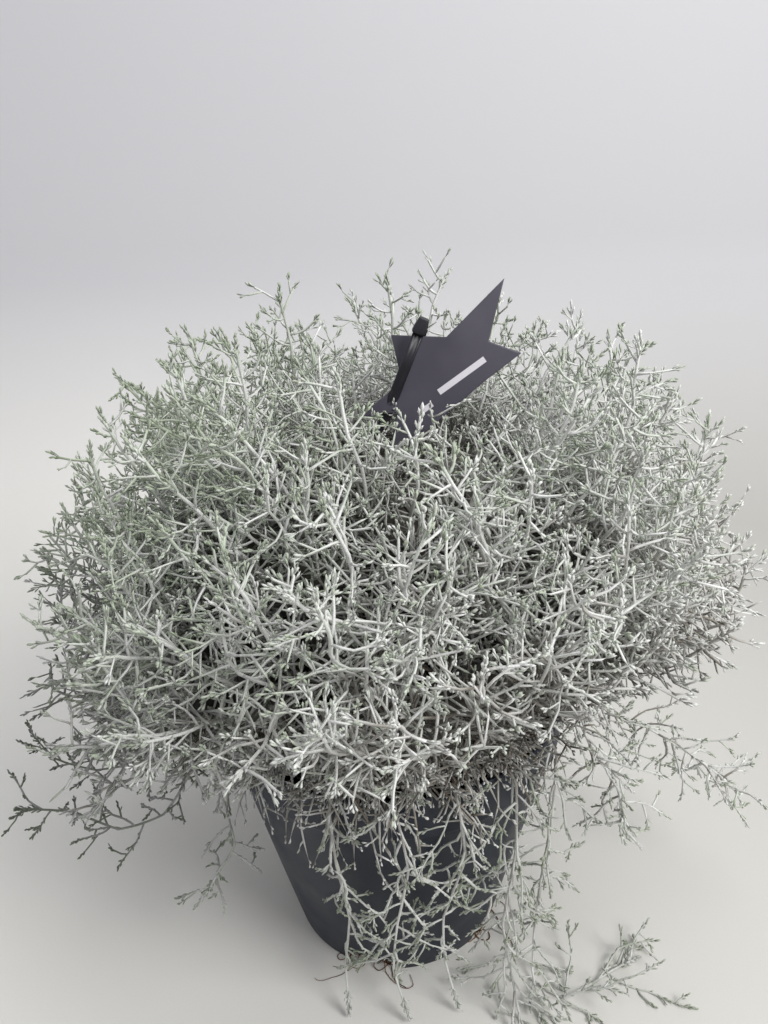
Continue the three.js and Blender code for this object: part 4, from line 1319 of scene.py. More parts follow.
    def heart(self, own: int) -> Body:
        """Returns a rough lump in the middle of a stem, for its dead twigs and shed leaves, coloured
        near-black as painted shade.

        Args:
            own: The stem's number.

        Returns:
            Points and triangles.
        """
        draw = np.random.default_rng(400 + own)
        seeds = self.crown.seeds()
        mine = seeds[own : own + 1]
        room = np.sort(np.arccos(np.clip(seeds @ mine[0], -1, 1)))[1] / 2
        out = swung(*sideways(mine), circle(self.heart_sides))
        rings = []
        for share, fill in zip(self.heart_share, self.heart_fill):
            angle = room * fill * draw.uniform(*self.heart_uneven, self.heart_sides)
            stray = draw.uniform(-self.heart_stray, self.heart_stray, self.heart_sides)
            rings.append(self.crown.place(unit(swung(mine, out, angle)), share + stray))
        ends = np.array([self.heart_share[0] - 0.05, self.heart_share[-1] + 0.03])
        return capped(rings, *self.crown.place(np.repeat(mine, 2, 0), ends))

    def kept_off(self, sticks: Sticks) -> Sticks:
        """Moves shoots that start outside the pot off its wall and rim."""
        start = sticks.start
        outside = (start[:, 2] > self.pot.height) | (from_axis(start) > self.pot.radius(start[:, 2]))
        for places in (sticks.middle, sticks.end):
            places[outside] = self.pot.clear(places[outside], TWIG_GAP)
        return sticks

    def hang(self, places: Array) -> Array:
        """Returns how far shoots may hang below the dome's underside, which they do at its right."""
        return self.hang_right * np.maximum(places[:, 0] / np.maximum(from_axis(places), 1e-9), 0)

    def turned_up(self, sticks: Sticks) -> Sticks:
        """Turns up shoots that would hang a little below the dome's underside, and leaves out the others."""

        def under(places: Array) -> Array:
            """Returns how far places lie below where shoots may hang, 0 over the pot."""
            low = self.crown.underside(places) - self.hang(places) - places[:, 2]
            return np.where(from_axis(places) > self.crown.rim[0], low, 0)

        sticks = sticks.take(under(sticks.end) <= self.hang_most)
        for places in (sticks.middle, sticks.end):
            places[:, 2] += np.maximum(under(places), 0) * self.turn_up
        return sticks

    def parted(self, sticks: Sticks) -> Sticks:
        """Leaves out shoots that would hide the tag, as the stems part in front of it."""
        hides = self.tag.in_view(sticks.end) | self.tag.in_view(sticks.middle)
        return sticks.take(~hides)

    def build(self, material: Material) -> None:
        """Builds one piece for each leafy stem of the frame."""
        skins = [Skin(self.crown.depth) for _ in range(self.crown.count)]

        def share_out(sticks: Sticks, *form: Any) -> None:
            """Adds sticks to the skins of their stems: as rods of a given form, or else as leaves."""
            for own, skin in enumerate(skins):
                mine = sticks.take(sticks.owner == own)
                if form:
                    skin.add_rods(mine, *form)
                else:
                    skin.add_leaves(mine)

        def fitted(sticks: Sticks) -> Sticks:
            """Returns the sticks that keep to the dome's underside and leave the tag free."""
            return self.parted(self.turned_up(sticks))

        share_out(self.stems(), 8, 7)
        for number, layer in enumerate(self.layers):
            seed = 100 * (number + 1)
            leaders = fitted(self.leaders(layer, seed))
            branches = fitted(self.kept_off(grow(leaders, layer.branches, self.light, seed + 1)))
            twigs = fitted(self.kept_off(grow(branches, layer.twigs, self.light, seed + 2)))
            dead = self.turned_up(self.kept_off(grow(leaders, self.dead, self.light, seed + 3)))
            share_out(leaders, layer.steps, 4, 0.08)
            share_out(branches, 4, 3, 0.1)
            share_out(twigs, 2, 3)
            share_out(dead.take(self.crown.depth(dead.end) < self.dead_depth), 3, 3)
            share_out(leaves(self.clothed(leaders, seed + 9), layer.crest, seed + 4))
            share_out(leaves(self.clothed(branches, seed + 7), layer.tuft, seed + 5))
            share_out(leaves(self.clothed(twigs, seed + 8), layer.bud, seed + 6))
        low = self.low_shoots(500)
        shoots = self.kept_off(grow(low, self.thatch.shoots, self.light, 501))
        shoots = shoots.take(~self.pot.pierced(shoots))
        share_out(low, 6, 3, 0.08)
        share_out(shoots, 2, 3)
        share_out(leaves(low, self.thatch.tuft, 502))
        share_out(leaves(shoots, self.thatch.tuft, 503))
        for own, skin in enumerate(skins):
            points, faces = self.heart(own)
            skin.add(points, faces, np.full(len(points), self.heart_shade_tone))
            skin.piece(f"stem_{own + 1:02d}", material)


@dataclass
class Trails:
    """The stems that hang over the rim.

    Each path is a list of distance from the axis and height, in mm, and of turn round it in degrees, if any.
    """

    pot: PotShape = PotShape()
    root_radius: float = 97 * MM
    start: float = 172 * MM
    sector: float = math.radians(8)
    radius: Span = (0.95 * MM, 0.7 * MM)
    over_the_rim: tuple = ((103, 184), (112, 195.5))
    down_the_pot: tuple = ((121, 189), (123, 150), (113, 95), (104, 40), (112, 8))
    on_the_floor: tuple = ((122, 188), (126, 140), (122, 80), (122, 28), (134, 2.8), (160, 2.0))
    along_the_floor: tuple = (
        (122, 188), (125, 140), (118, 80), (114, 28),
        (124, 2.8, -3), (146, 2.0, -2), (164, 2.0, 7), (176, 2.0, 15),
    )
    hanging_short: tuple = ((122, 186), (136, 162), (149, 138), (157, 104))
    hanging_out: tuple = ((125, 178), (149, 148), (178, 130), (215, 110), (245, 80))
    hanging_back: tuple = ((121, 187), (123, 150), (121, 110), (143, 73))
    long_and_level: tuple = ((126, 172), (148, 118), (182, 92), (221, 92), (252, 101), (280, 104))
    long_and_rising: tuple = ((125, 178), (138, 134), (158, 108), (186, 114), (212, 124), (244, 131))
    short_and_low: tuple = ((124, 180), (134, 120), (150, 66), (166, 24))
    branches: Habit = Habit(
        spacing=7.6 * MM, first=0.0, last=1.0, angle_deg=(20, 60), length=(20 * MM, 58 * MM), shrink=0.0,
        lift=0.16, thick=0.7 * MM, thin=0.58 * MM, tone=(1.45, 1.75), kink=1.1 * MM,
    )
    side_shoots: Habit = Habit(
        spacing=8.0 * MM, first=0.0, last=1.0, angle_deg=(30, 75), length=(9 * MM, 32 * MM), shrink=0.0,
        lift=0.12, thick=0.72 * MM, thin=0.62 * MM, tone=(1.0, 1.3), kink=1.0 * MM,
    )
    sprays: Habit = Habit(
        spacing=3.6 * MM, first=0.0, last=1.0, angle_deg=(30, 85), length=(12 * MM, 42 * MM), shrink=0.0,
        lift=0.12, thick=0.78 * MM, thin=0.66 * MM, tone=(1.15, 1.45), kink=1.3 * MM,
    )
    twigs: Habit = Habit(
        spacing=12.5 * MM, first=0.2, last=0.92, angle_deg=(40, 80), length=(5 * MM, 16 * MM), shrink=0.2,
        lift=0.1, thick=0.58 * MM, thin=0.54 * MM, tone=(1.5, 1.8),
    )
    crest: Tuft = Tuft(18, 15 * MM, (4.4 * MM, 6.4 * MM), radius=0.82 * MM, angle_deg=(8, 38))
    tuft: Tuft = Tuft(7, 8 * MM, (3.6 * MM, 5.4 * MM), radius=0.7 * MM, angle_deg=(5, 30))
    bud: Tuft = Tuft(5, 5 * MM, (3.4 * MM, 5 * MM), radius=0.64 * MM, angle_deg=(5, 26))
    coat: Tuft = Tuft(11, 60 * MM, (3 * MM, 4.4 * MM), radius=0.5 * MM, angle_deg=(8, 20))
    # Painted shade: fixed depths that the leaf material darkens the trailing stems by, more for those that
    # hang before the pot.
    depth: float = 0.74
    side_depth: float = 0.86
    leaf_floor: float = 1 * MM
    between: Span = (-290 * MM, 264 * MM)
    cling: float = 22 * MM
    clear_of_foot: float = 24 * MM
    clear_left: float = -44 * MM
    buried: float = 12 * MM
    sway: float = 0.35
    droop: float = 0.2
    bend_gap: float = 2 * MM
    end_gap: float = 1.6 * MM
    stem_tones: Span = (0.8, 1.6)
    tip_tone: float = 1.5
    knots_a_stretch: int = 8
    knobs: float = 0.2

    def courses(self) -> list[tuple[float, tuple]]:
        """Returns the azimuth in degrees and the path of each trailing stem."""
        return [
            (-150, self.hanging_back),
            (-107, self.down_the_pot),
            (-90, self.down_the_pot),
            (-74, self.down_the_pot),
            (-57, self.on_the_floor),
            (-40, self.along_the_floor),
            (-22, self.hanging_short),
            (0, self.hanging_out),
            (60, self.short_and_low),
            (120, self.short_and_low),
            (172, self.long_and_level),
            (194, self.long_and_rising),
        ]

    def knots(self, index: int, deg: float, path: tuple) -> Array:
        """Returns the places that a trailing stem passes, the same as its node's.

        Args:
            index: The stem's number, from 0.
            deg: The azimuth at which it leaves the soil, in degrees.
            path: Its path.

        Returns:
            The places, from the soil to its end.
        """
        azimuth = math.radians(deg)
        places = [(self.root_radius, azimuth, self.start)]
        for i, (radius, height, *turn) in enumerate((*self.over_the_rim, *path)):
            sway = self.sector * self.sway * math.sin(i * 1.9 + index) if i > 2 else 0.0
            places.append((radius * MM, azimuth + math.radians(sum(turn)) + sway, height * MM))
        return np.array([(r * math.cos(a), r * math.sin(a), z) for r, a, z in places])

    def stretches(self, knots: Array) -> Sticks:
        """Returns the curves from each knot to the next, in line with each other."""
        way = np.gradient(knots, axis=0)
        first, last = knots[:-1], knots[1:]
        middle = (first + last) / 2 + (way[:-1] - way[1:]) / 8
        return Sticks.made(start=first, middle=middle, end=last, owner=np.arange(len(first)))

    def light(self, places: Array) -> Array:
        """Returns the direction that shoots turn to: away from the pot and a little down, by their weight."""
        return unit(unit(places * np.array([1.0, 1.0, 0.0])) - UP * self.droop)

    def build(self, material: Material) -> None:
        """Builds one piece for each trailing stem of the frame."""
        for index, (deg, path) in enumerate(self.courses()):
            seed = 1000 + 10 * index
            stretches = self.stretches(self.knots(index, deg, path))
            shares = np.arange(self.knots_a_stretch) / self.knots_a_stretch
            every = np.stack([stretches.at(np.full(len(stretches), share)) for share in shares], 1)
            places = np.concatenate([every.reshape(-1, 3), stretches.end[-1:]])
            places = np.concatenate([places[:1] - UP * self.buried, places])
            habit = self.habit(path)
            bare = stretches.take(np.arange(2, len(stretches) - (path == self.down_the_pot)))
            branches = self.off_the_pot(grow(bare, habit, self.light, seed + 1), path)
            twigs = self.off_the_pot(grow(branches, self.twigs, self.light, seed + 2), path)
            depth = self.depth if habit is self.branches else self.side_depth
            skin = Skin(lambda places, depth=depth: np.full(len(places), depth))
            radii, tones = [np.linspace(*ends, len(places)) for ends in (self.radius, self.stem_tones)]
            skin.add_path(places, radii, tones, 6)
            skin.add_rods(branches, 6, 4, self.knobs)
            skin.add_rods(twigs, 3, 4, self.knobs)
            last = stretches.take(np.array([len(stretches) - 1]))
            last.tone_end[:] = self.tip_tone
            clothed = ((last, self.crest), (branches, self.tuft), (twigs, self.bud), (branches, self.coat))
            for number, (twig, tuft) in enumerate(clothed):
                group = leaves(twig, tuft, seed + 3 + number)
                group.end[:, 2] = np.maximum(group.end[:, 2], self.leaf_floor)
                skin.add_leaves(group)
            skin.piece(f"trail_{index + 1:02d}", material)

    def habit(self, path: tuple) -> Habit:
        """Returns how a path's shoots stand: a loose mesh before the pot, and close sprays at its right."""
        if path in (self.down_the_pot, self.on_the_floor, self.along_the_floor):
            return self.branches
        if path in (self.hanging_short, self.hanging_out):
            return self.sprays
        return self.side_shoots

    def clinging(self, places: Array) -> Array:
        """Moves places that stand far off the pot's wall back to it."""
        across = np.maximum(from_axis(places), 1e-9)
        most = np.minimum(self.pot.radius(np.minimum(places[:, 2], self.pot.height)) + self.cling, across)
        return np.concatenate([places[:, :2] * most[:, None] / across[:, None], places[:, 2:]], 1)

    def off_the_pot(self, sticks: Sticks, path: tuple) -> Sticks:
        """Moves shoots off the pot and the floor, and leaves out those that would reach too far.

        Args:
            sticks: The shoots.
            path: The path of the stem that they stand on.

        Returns:
            The shoots that stay.
        """
        for places, gap in ((sticks.middle, self.bend_gap), (sticks.end, self.end_gap)):
            if path == self.down_the_pot:
                places[:] = self.clinging(places)
            places[:] = self.pot.clear(places, gap)
        x, _, z = sticks.end.T
        kept = (x > self.between[0]) & (x < self.between[1])
        if path == self.down_the_pot:
            kept &= (z > self.clear_of_foot) & (x > self.clear_left)
        return sticks.take(kept)


def lathe(rings: list[Array]) -> Body:
    """Returns the points and triangles of a hollow body through rings of points, closed both ways."""
    stack = np.stack(rings)
    here = np.arange(stack[..., 0].size).reshape(stack.shape[:2])
    up, along = np.roll(here, -1, 0), np.roll(here, -1, 1)
    across = np.roll(up, -1, 1)
    return stack.reshape(-1, 3), np.stack([here, along, across, here, across, up], -1).reshape(-1, 3)


def capped(rings: list[Array], foot: Array | None = None, top: Array | None = None) -> Body:
    """Returns the points and triangles of a solid body through rings of points.

    Args:
        rings: The rings, from the foot up.
        foot: The point that closes the foot, or else the first ring's middle.
        top: The point that closes the top, or else the last ring's middle.

    Returns:
        Points and triangles.
    """
    points, faces = lathe(rings)
    count, columns = len(points), len(rings[0])
    last = count - columns
    k = np.arange(columns)
    after = (k + 1) % columns
    under = np.stack([np.full(columns, count), after, k], 1)
    over = np.stack([np.full(columns, count + 1), last + k, last + after], 1)
    ends = [rings[0].mean(0) if foot is None else foot, rings[-1].mean(0) if top is None else top]
    return np.concatenate([points, ends]), np.concatenate([faces[: 2 * last], under, over])


def joined(*bodies: Body) -> Body:
    """Returns several bodies, each of points and triangles, as one."""
    counts = np.cumsum([0, *[len(points) for points, _ in bodies]])
    faces = [faces + start for (_, faces), start in zip(bodies, counts)]
    return np.concatenate([points for points, _ in bodies]), np.concatenate(faces)


@dataclass
class Pot:
    """The nursery pot: a tapered wall with a rim band, arched drain notches round its foot, and its floor."""

    shape: PotShape = PotShape()
    columns: int = 360
    edge_radius: float = 0.6 * MM
    wobble: float = 0.25 * MM
    lip_mm: tuple[Span, ...] = ((0.0, 1.2), (0.3, 0.4), (0.9, 0.0), (1.6, 0.2))

    def wall(self) -> Body:
        """Returns the points and triangles of the wall, a closed ring with arches cut into its foot."""
        shape, soft = self.shape, self.edge_radius
        azimuth = circle(self.columns)
        foot = shape.notch(azimuth)
        band = shape.rim_radius - shape.band_taper
        step, top = shape.band_foot, shape.height
        rings = []

        def ring(radius: Any, height: Any) -> None:
            """Adds a ring of points, a little out of round as moulded pots are."""
            drift = self.wobble * (np.sin(3 * azimuth + 1) + 0.6 * np.sin(7 * azimuth + height * 40))
            rings.append(polar(radius + drift, azimuth, height))

        def on_wall(*heights: float, inwards: float = 0.0) -> None:
            """Adds rings that follow the pot's outer face, or lie inside it by a distance."""
            for height in heights:
                ring(shape.radius(np.full(self.columns, height)) - inwards, height)

        for share in (0.0, 0.5, 2.0):
            level = foot + share * soft
            ring(shape.radius(level) - soft * (1 - min(share, 1)) ** 2, level)
        on_wall(18 * MM, 45 * MM, 80 * MM, 115 * MM, 140 * MM, step - 1.6 * MM)
        on_wall(step - 0.6 * MM, inwards=-0.3 * MM)
        ring(band - 0.5 * soft, step + 0.1 * MM)
        ring(band, step + 0.9 * MM)
        on_wall(step + 2 * MM, step + 10 * MM, step + 20 * MM, top - 3 * MM)
        for inwards, below in self.lip_mm:
            ring(shape.rim_radius - inwards * MM, top - below * MM)
        ring(shape.rim_radius - shape.wall - 0.3 * MM, top - 1 * MM)
        on_wall(top - 4 * MM, step + 4 * MM, inwards=shape.wall + 0.4 * MM)
        on_wall(step - 3 * MM, 110 * MM, 60 * MM, 20 * MM, inwards=shape.wall)
        ring(shape.radius(foot) - shape.wall, foot + 0.3 * MM)
        return lathe(rings)

    def floor(self) -> Body:
        """Returns the points and triangles of the floor, which stops short behind each notch."""
        shape = self.shape
        azimuth = circle(self.columns)
        whole = shape.base_radius - shape.wall + 0.4 * MM
        edge = np.where(shape.notch(azimuth) > 0, shape.notch_inner, whole)
        levels = ((0.5, 0.0), (0.97, 0.0), (1.0, 0.4 * MM), (1.0, shape.floor), (0.5, shape.floor))
        return capped([polar(edge * share, azimuth, height) for share, height in levels])

    def build(self, material: Material) -> None:
        """Builds the pot."""
        new_piece("nursery_pot", joined(self.wall(), self.floor()), material, Finish.POT, "pot")


@dataclass
class Soil:
    """The root ball, with a crumbly top."""

    shape: PotShape = PotShape()
    top: float = 171 * MM
    roughness: float = 2.5 * MM
    waves: tuple[float, ...] = (60, 90, 140, 220, 340, 520)
    gap: float = 0.3 * MM
    side_rings: int = 14
    columns: int = 120
    rows: int = 40
    crumbs: int = 800
    crumb: Span = (0.7 * MM, 2.6 * MM)

    def rough(self, x: Array, y: Array) -> Array:
        """Returns how far the top stands above or below its level."""
        draw = np.random.default_rng(5)
        height = np.zeros_like(x)
        for wave in self.waves:
            for _ in range(3):
                angle, phase = draw.uniform(0, 2 * math.pi, 2)
                along = x * math.cos(angle) + y * math.sin(angle)
                height += np.sin(along * wave * 2.2 + phase) / (wave / self.waves[0]) ** 0.7
        return height * self.roughness * 0.2

    def ball(self, edge: float) -> Body:
        """Returns the points and triangles of the root ball, whose top has an edge at a given radius."""
        shape, gap = self.shape, self.gap
        azimuth = circle(self.columns)
        inner = shape.base_radius - shape.wall - 1.2 * MM
        rings = [polar(radius, azimuth, shape.floor + gap) for radius in (0.5 * MM, inner)]
        for height in np.linspace(8 * MM, self.top - 4 * MM, self.side_rings):
            rings.append(polar(shape.radius(height) - shape.wall - gap - 0.6 * MM, azimuth, height))
        for share in np.linspace(1, 0.005, self.rows):
            x, y, _ = polar(edge * share, azimuth, 0).T
            level = self.top + self.rough(x, y) - 2 * MM * share**8
            rings.append(polar(edge * share, azimuth, level))
        return lathe(rings)

    def litter(self, edge: float) -> Body:
        """Returns the points and triangles of the crumbs that lie on the top, inside its edge."""
        draw = np.random.default_rng(6)
        lump = np.array([[1, 0, 0], [-1, 0, 0], [0, 1, 0], [0, -1, 0], [0, 0, 1], [0, 0, -1]], float)
        upper = [[0, 2, 4], [2, 1, 4], [1, 3, 4], [3, 0, 4]]
        lower = [[2, 0, 5], [1, 2, 5], [3, 1, 5], [0, 3, 5]]
        across = edge * np.sqrt(draw.uniform(0, 1, self.crumbs))
        middle = polar(across, draw.uniform(0, 2 * math.pi, self.crumbs), 0)
        middle[:, 2] = self.top + self.rough(middle[:, 0], middle[:, 1])
        size = draw.uniform(*self.crumb, (self.crumbs, 1, 3))
        bits = middle[:, None] + lump[None] * size * draw.uniform(0.6, 1.3, (self.crumbs, 6, 1))
        return bits.reshape(-1, 3), tiled(np.array(upper + lower), self.crumbs, 6)

    def build(self, material: Material) -> None:
        """Builds the root ball and its crumbs."""
        edge = float(self.shape.radius(self.top)) - self.shape.wall - 3 * MM
        new_piece("root_ball", joined(self.ball(edge), self.litter(edge)), material, Finish.SOIL, "soil")


@dataclass
class Roots:
    """Thin roots that come out at two notches and curl on the floor."""

    shape: PotShape = PotShape()
    radius: Span = (0.42 * MM, 0.2 * MM)
    count: int = 9
    spread: float = 0.45
    inset: float = 3 * MM
    steps: int = 32
    step: float = 1.35 * MM
    fall: float = 0.8 * MM
    lowest: float = 0.7 * MM
    hop_mm: float = 0.25
    out_at_mm: Span = (2.5, 6)
    stray: float = 0.5
    curl: Span = (0.08, 0.3)
    wobble: float = 0.22

    def run(self, notch: int, seed: int) -> Skin:
        """Returns the roots of one notch.

        Args:
            notch: The notch's number.
            seed: Seed of the random draws.

        Returns:
            Their points and faces.
        """
        draw = np.random.default_rng(seed)
        middle = self.shape.notch_first + 2 * math.pi / self.shape.notch_count * notch
        skin = Skin(lambda places: np.ones(len(places)))
        for number in range(self.count):
            azimuth = middle + ((number + 0.5) / self.count - 0.5) * self.spread
            bearing = azimuth + draw.normal(0, self.stray)
            curl = draw.uniform(*self.curl) * draw.choice((-1, 1))
            height = draw.uniform(*self.out_at_mm) * MM
            place = polar(self.shape.base_radius - self.inset, azimuth, height)
            places = [place]
            for _ in range(int(self.steps * draw.uniform(0.55, 1.0))):
                bearing += curl + draw.normal(0, self.wobble)
                place = place + polar(1.0, bearing, 0.0) * self.step
                hop = max(0, draw.normal(0, self.hop_mm)) * MM
                place[2] = max(self.lowest, place[2] - self.fall) + hop
                places.append(place)
            radii = np.linspace(*self.radius, len(places)) * draw.uniform(0.7, 1.2)
            skin.add_path(np.array(places), radii, np.ones(len(places)), 5)
        return skin

    def build(self, material: Material) -> None:
        """Builds the roots of both notches."""
        for node, notch, seed in (("roots_front", 4, 61), ("roots_right", 0, 62)):
            new_piece("loose_" + node, self.run(notch, seed).body(), material, Finish.ROOT, node)


@dataclass
class Tag:
    """The star-shaped card. It bends back a little towards its points."""

    shape: TagShape = TagShape()
    steps: int = 6
    shares: tuple[float, ...] = (0.25, 0.5, 0.75, 0.965, 0.99)
    bend: float = 1.6 * MM

    def build(self, material: Material) -> None:
        """Builds the card."""
        corners = np.array(self.shape.outline_mm) * MM
        part = np.arange(self.steps) / self.steps
        sides = mix(corners[:, None], np.roll(corners, -1, 0)[:, None], part[None, :, None])
        outline = sides.reshape(-1, 2)
        half = self.shape.thickness / 2
        rings = []
        levels = [(share, -half) for share in self.shares] + [(1.0, -0.6 * half), (1.0, 0.6 * half)]
        levels += [(share, half) for share in reversed(self.shares)]
        for share, out in levels:
            across, upwards = outline.T * share
            back = self.bend * (across**2 + upwards**2) / (50 * MM) ** 2
            rings.append(self.shape.spots(across, upwards, out - back))
        points, faces = capped(rings)
        new_piece("star_tag", (points, faces[:, ::-1]), material, Finish.TAG, "tag")


@dataclass
class Stake:
    """The stake that carries the tag: a ribbed bar with a small clip at its top."""

    foot: Triple = (-82 * MM, 8 * MM, 158 * MM)
    top: Triple = (22 * MM, -8.5 * MM, 420 * MM)
    width: float = 6 * MM
    thickness: float = 2.4 * MM
    point: float = 14 * MM
    clip: Triple = (8 * MM, 5 * MM, 9 * MM)
    sides: int = 40
    ribs: int = 3
    rib_depth: float = 0.45 * MM
    clip_profile: tuple[Span, ...] = (
        (0.0, 0.8), (0.04, 0.94), (0.12, 1.0), (0.4, 0.93), (0.7, 0.8), (0.9, 0.7), (0.97, 0.64), (1.0, 0.5),
    )

    def section(self, width: float, thickness: float, ribbed: float) -> Array:
        """Returns a section of the bar, a rounded oblong with ribs on both faces.

        Args:
            width: Its width.
            thickness: Its thickness.
            ribbed: Depth of the ribs.

        Returns:
            Its points, each across and through the bar.
        """
        turn = circle(self.sides)
        across = np.sign(np.cos(turn)) * np.abs(np.cos(turn)) ** 0.5
        through = np.sign(np.sin(turn)) * np.abs(np.sin(turn)) ** 0.35
        groove = ribbed * (0.5 - 0.5 * np.cos(across * math.pi * self.ribs))
        return np.stack([across * width / 2, through * (thickness / 2 - groove)], 1)

    def body(self, levels: Iterable[tuple[float, float, float, float]]) -> Body:
        """Returns a body along the stake from its sections.

        Args:
            levels: Height along the stake, width, thickness and rib depth of each section.

        Returns:
            Points and triangles.
        """
        foot = np.array(self.foot)
        upwards = unit(np.array(self.top) - foot)
        back = unit(np.array([0.0, 1.0, 0.0]) - upwards * upwards[1])
        across = np.cross(back, upwards)
        rings = []
        for height, width, thickness, ribbed in levels:
            section = self.section(width, thickness, ribbed)
            rings.append(foot + upwards * height + section[:, :1] * across + section[:, 1:] * back)
        return capped(rings)

    def build(self, material: Material) -> None:
        """Builds the bar and the clip."""
        length = float(np.linalg.norm(np.array(self.top) - np.array(self.foot)))
        wide, deep, tall = self.clip
        bar = [(0.0, 1.5 * MM, 1.2 * MM, 0.0), (self.point, self.width, self.thickness, 0.0)]
        steps = np.linspace(self.point + 4 * MM, length - tall / 2, 14)
        bar += [(height, self.width, self.thickness, self.rib_depth) for height in steps]
        clip = [(length + (h - 0.5) * tall, wide * s, deep * s, 0.0) for h, s in self.clip_profile]
        body = joined(self.body(bar), self.body(clip))
        new_piece("tag_holder", body, material, Finish.STAKE, "tag_stake")


@dataclass(frozen=True)
class Lamp:
    """A round soft lamp: its place, its width, its power in watts and its sRGB hex colour."""

    name: str
    place: Triple
    width: float
    power: float
    colour: str


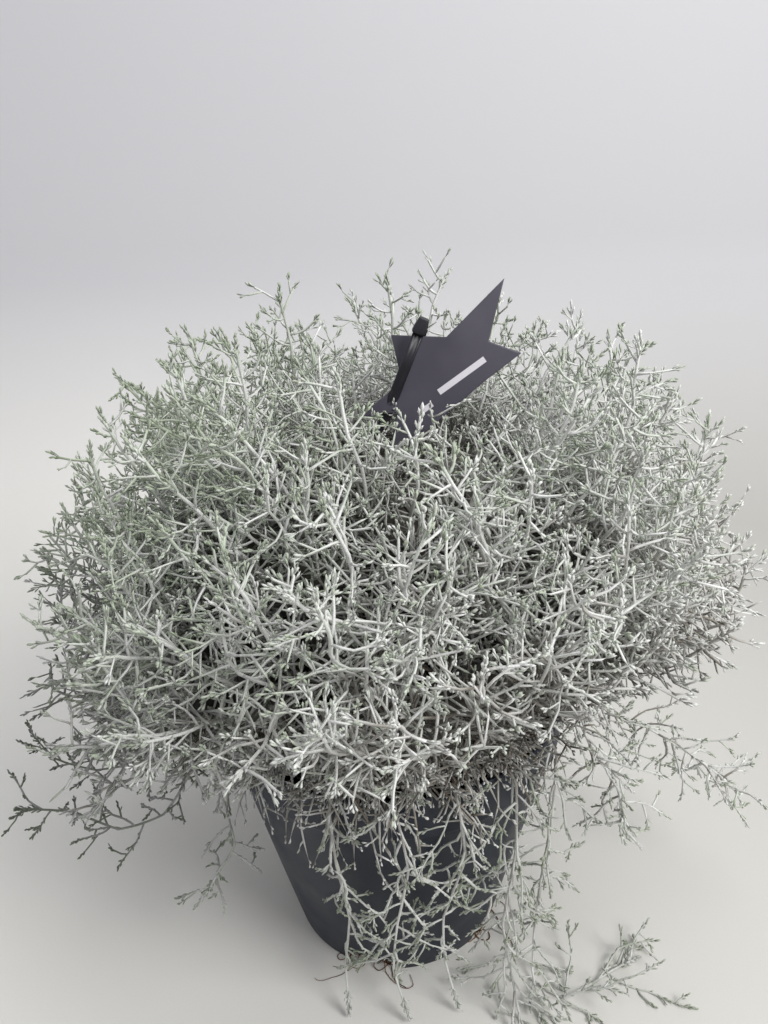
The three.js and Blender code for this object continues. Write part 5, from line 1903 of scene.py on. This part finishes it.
@dataclass
class Studio:
    """The camera, the floor and the lights."""

    place: Triple = (-0.001, -0.436, 0.5175)
    pitch: float = math.radians(25.7)
    roll: float = math.radians(-1.89)
    focal_px: float = 810.0
    frame_height_px: float = 1024.0
    sensor_mm: float = 36.0
    half_width: float = 3.0
    sweep_from: float = 0.55
    sweep_radius: float = 0.35
    sweep_steps: int = 8
    # Painted shade: the floor is darker to the right, where the key lamp lights it most.
    floor_left: str = "#eae9e3"
    floor_right: str = "#b5b4ae"
    floor_between: Span = (-0.4, 0.5)
    floor_grain: float = 900.0
    wall: str = "#ceced1"
    wall_from: float = 0.3
    lamps: tuple[Lamp, ...] = (
        Lamp("key", (1.1, -0.95, 1.5), 0.9, 29.5, "#fffefd"),
        Lamp("fill", (-1.2, -0.6, 1.1), 1.2, 1.4, "#f8f9ff"),
        Lamp("top", (0.55, 0.1, 1.9), 1.4, 11.0, "#ffffff"),
    )
    aim: Triple = (0, 0, 0.25)
    room: str = "#e6e6ec"
    room_light: float = 0.56

    def camera(self) -> None:
        """Places the camera where the photo was taken from."""
        data = bpy.data.cameras.new("camera")
        data.sensor_fit = "VERTICAL"
        data.sensor_height = self.sensor_mm
        data.lens = self.sensor_mm * self.focal_px / self.frame_height_px
        data.clip_start = 0.01
        made = bpy.data.objects.new("camera", data)
        forward = Vector((0, math.cos(self.pitch), -math.sin(self.pitch)))
        right = Vector((1, 0, 0))
        up = Vector((0, math.sin(self.pitch), math.cos(self.pitch)))
        rolled_right = right * math.cos(self.roll) + up * math.sin(self.roll)
        rolled_up = up * math.cos(self.roll) - right * math.sin(self.roll)
        turned = Matrix((rolled_right, rolled_up, -forward)).transposed().to_4x4()
        made.matrix_world = Matrix.Translation(self.place) @ turned
        bpy.context.scene.collection.objects.link(made)
        bpy.context.scene.camera = made

    def paint(self) -> Material:
        """Builds the floor's material: matt paper, darker to the right with painted shade against the key
        lamp's light, and cooler up the wall.
        """
        material, add, shader = new_material("pale_floor")
        place = add("TexCoord", out="Object")
        grain = add("TexNoise", {"Vector": place, "Scale": self.floor_grain})
        x, _, z = add("SeparateXYZ", (place,)).node.outputs
        across = add("MapRange", (x, *self.floor_between, 0.1, 0.9))
        uneven = add("Math", (grain, 0.12, across), operation="MULTIPLY_ADD")
        ramp = add("ValToRGB", (uneven,), stops=[(0.1, self.floor_left), (1.0, self.floor_right)])
        upright = add("MapRange", (z, 0.0, self.wall_from))
        colour = add("Mix", {0: upright, 6: ramp, 7: linear(self.wall)}, 2, data_type="RGBA")
        feed(shader, {"Base Color": colour, "Roughness": 0.7})
        return material

    def floor(self) -> None:
        """Lays the pale floor, which sweeps up into a wall far behind."""
        radius = self.sweep_radius
        turns = [k / self.sweep_steps * math.pi / 2 for k in range(1, self.sweep_steps + 1)]
        sweep = [(self.sweep_from + radius * math.sin(turn), radius * (1 - math.cos(turn))) for turn in turns]
        ends = (-self.half_width, self.half_width)
        profile = [(ends[0], 0.0), (self.sweep_from, 0.0), *sweep, (self.sweep_from + radius, ends[1])]
        points = [(x, y, z) for y, z in profile for x in ends]
        faces = [(2 * k, 2 * k + 1, 2 * k + 3, 2 * k + 2) for k in range(len(profile) - 1)]
        mesh = bpy.data.meshes.new("floor")
        mesh.from_pydata(points, [], faces)
        mesh.shade_smooth()
        mesh.materials.append(self.paint())
        made = bpy.data.objects.new("floor", mesh)
        bpy.context.scene.collection.objects.link(made)

    def hang(self, lamp: Lamp) -> None:
        """Hangs a lamp that faces the bush."""
        data = bpy.data.lights.new(lamp.name, "AREA")
        data.shape = "DISK"
        data.size = lamp.width
        data.energy = lamp.power
        data.color = linear(lamp.colour)[:3]
        made = bpy.data.objects.new(lamp.name, data)
        made.location = lamp.place
        way = Vector(self.aim) - Vector(lamp.place)
        made.rotation_euler = way.to_track_quat("-Z", "Y").to_euler()
        bpy.context.scene.collection.objects.link(made)

    def build(self) -> None:
        """Builds the whole studio."""
        self.camera()
        self.floor()
        for lamp in self.lamps:
            self.hang(lamp)
        world = bpy.data.worlds.new("room")
        world.use_nodes = True
        feed(world.node_tree.nodes["Background"], {"Color": linear(self.room), "Strength": self.room_light})
        bpy.context.scene.world = world
        bpy.context.scene.view_settings.view_transform = "Standard"


def main() -> None:
    """Builds the studio and every piece, in order."""
    logging.basicConfig(level=logging.INFO, format="%(name)s: %(message)s")
    Studio().build()
    leaf = FeltedLeaf().material()
    Bush().build(leaf)
    Trails().build(leaf)
    pot = Moulded("moulded_polypropylene", "#0d1626", "#1f2938", roughness=0.52, dust_share=0.2)
    Pot().build(pot.material())
    Tag().build(CoatedCard().material())
    clip = Moulded("black_polystyrene", "#201f26", "#33323a", roughness=0.5, grain_depth_mm=0.01)
    Stake().build(clip.material())
    peat = Crumbly("damp_peat", "#120d0a", "#2e211a", "#5a4028", lump_mm=9.0, fibre_mm=1.6)
    Soil().build(peat.material())
    root = Crumbly("dry_root", "#3a2415", "#6a4628", "#99703f", lump_mm=6.0, fibre_mm=1.0, depth_mm=0.2)
    Roots().build(root.material())


if __name__ == "__main__":
    main()
    bpy.context.view_layer.update()
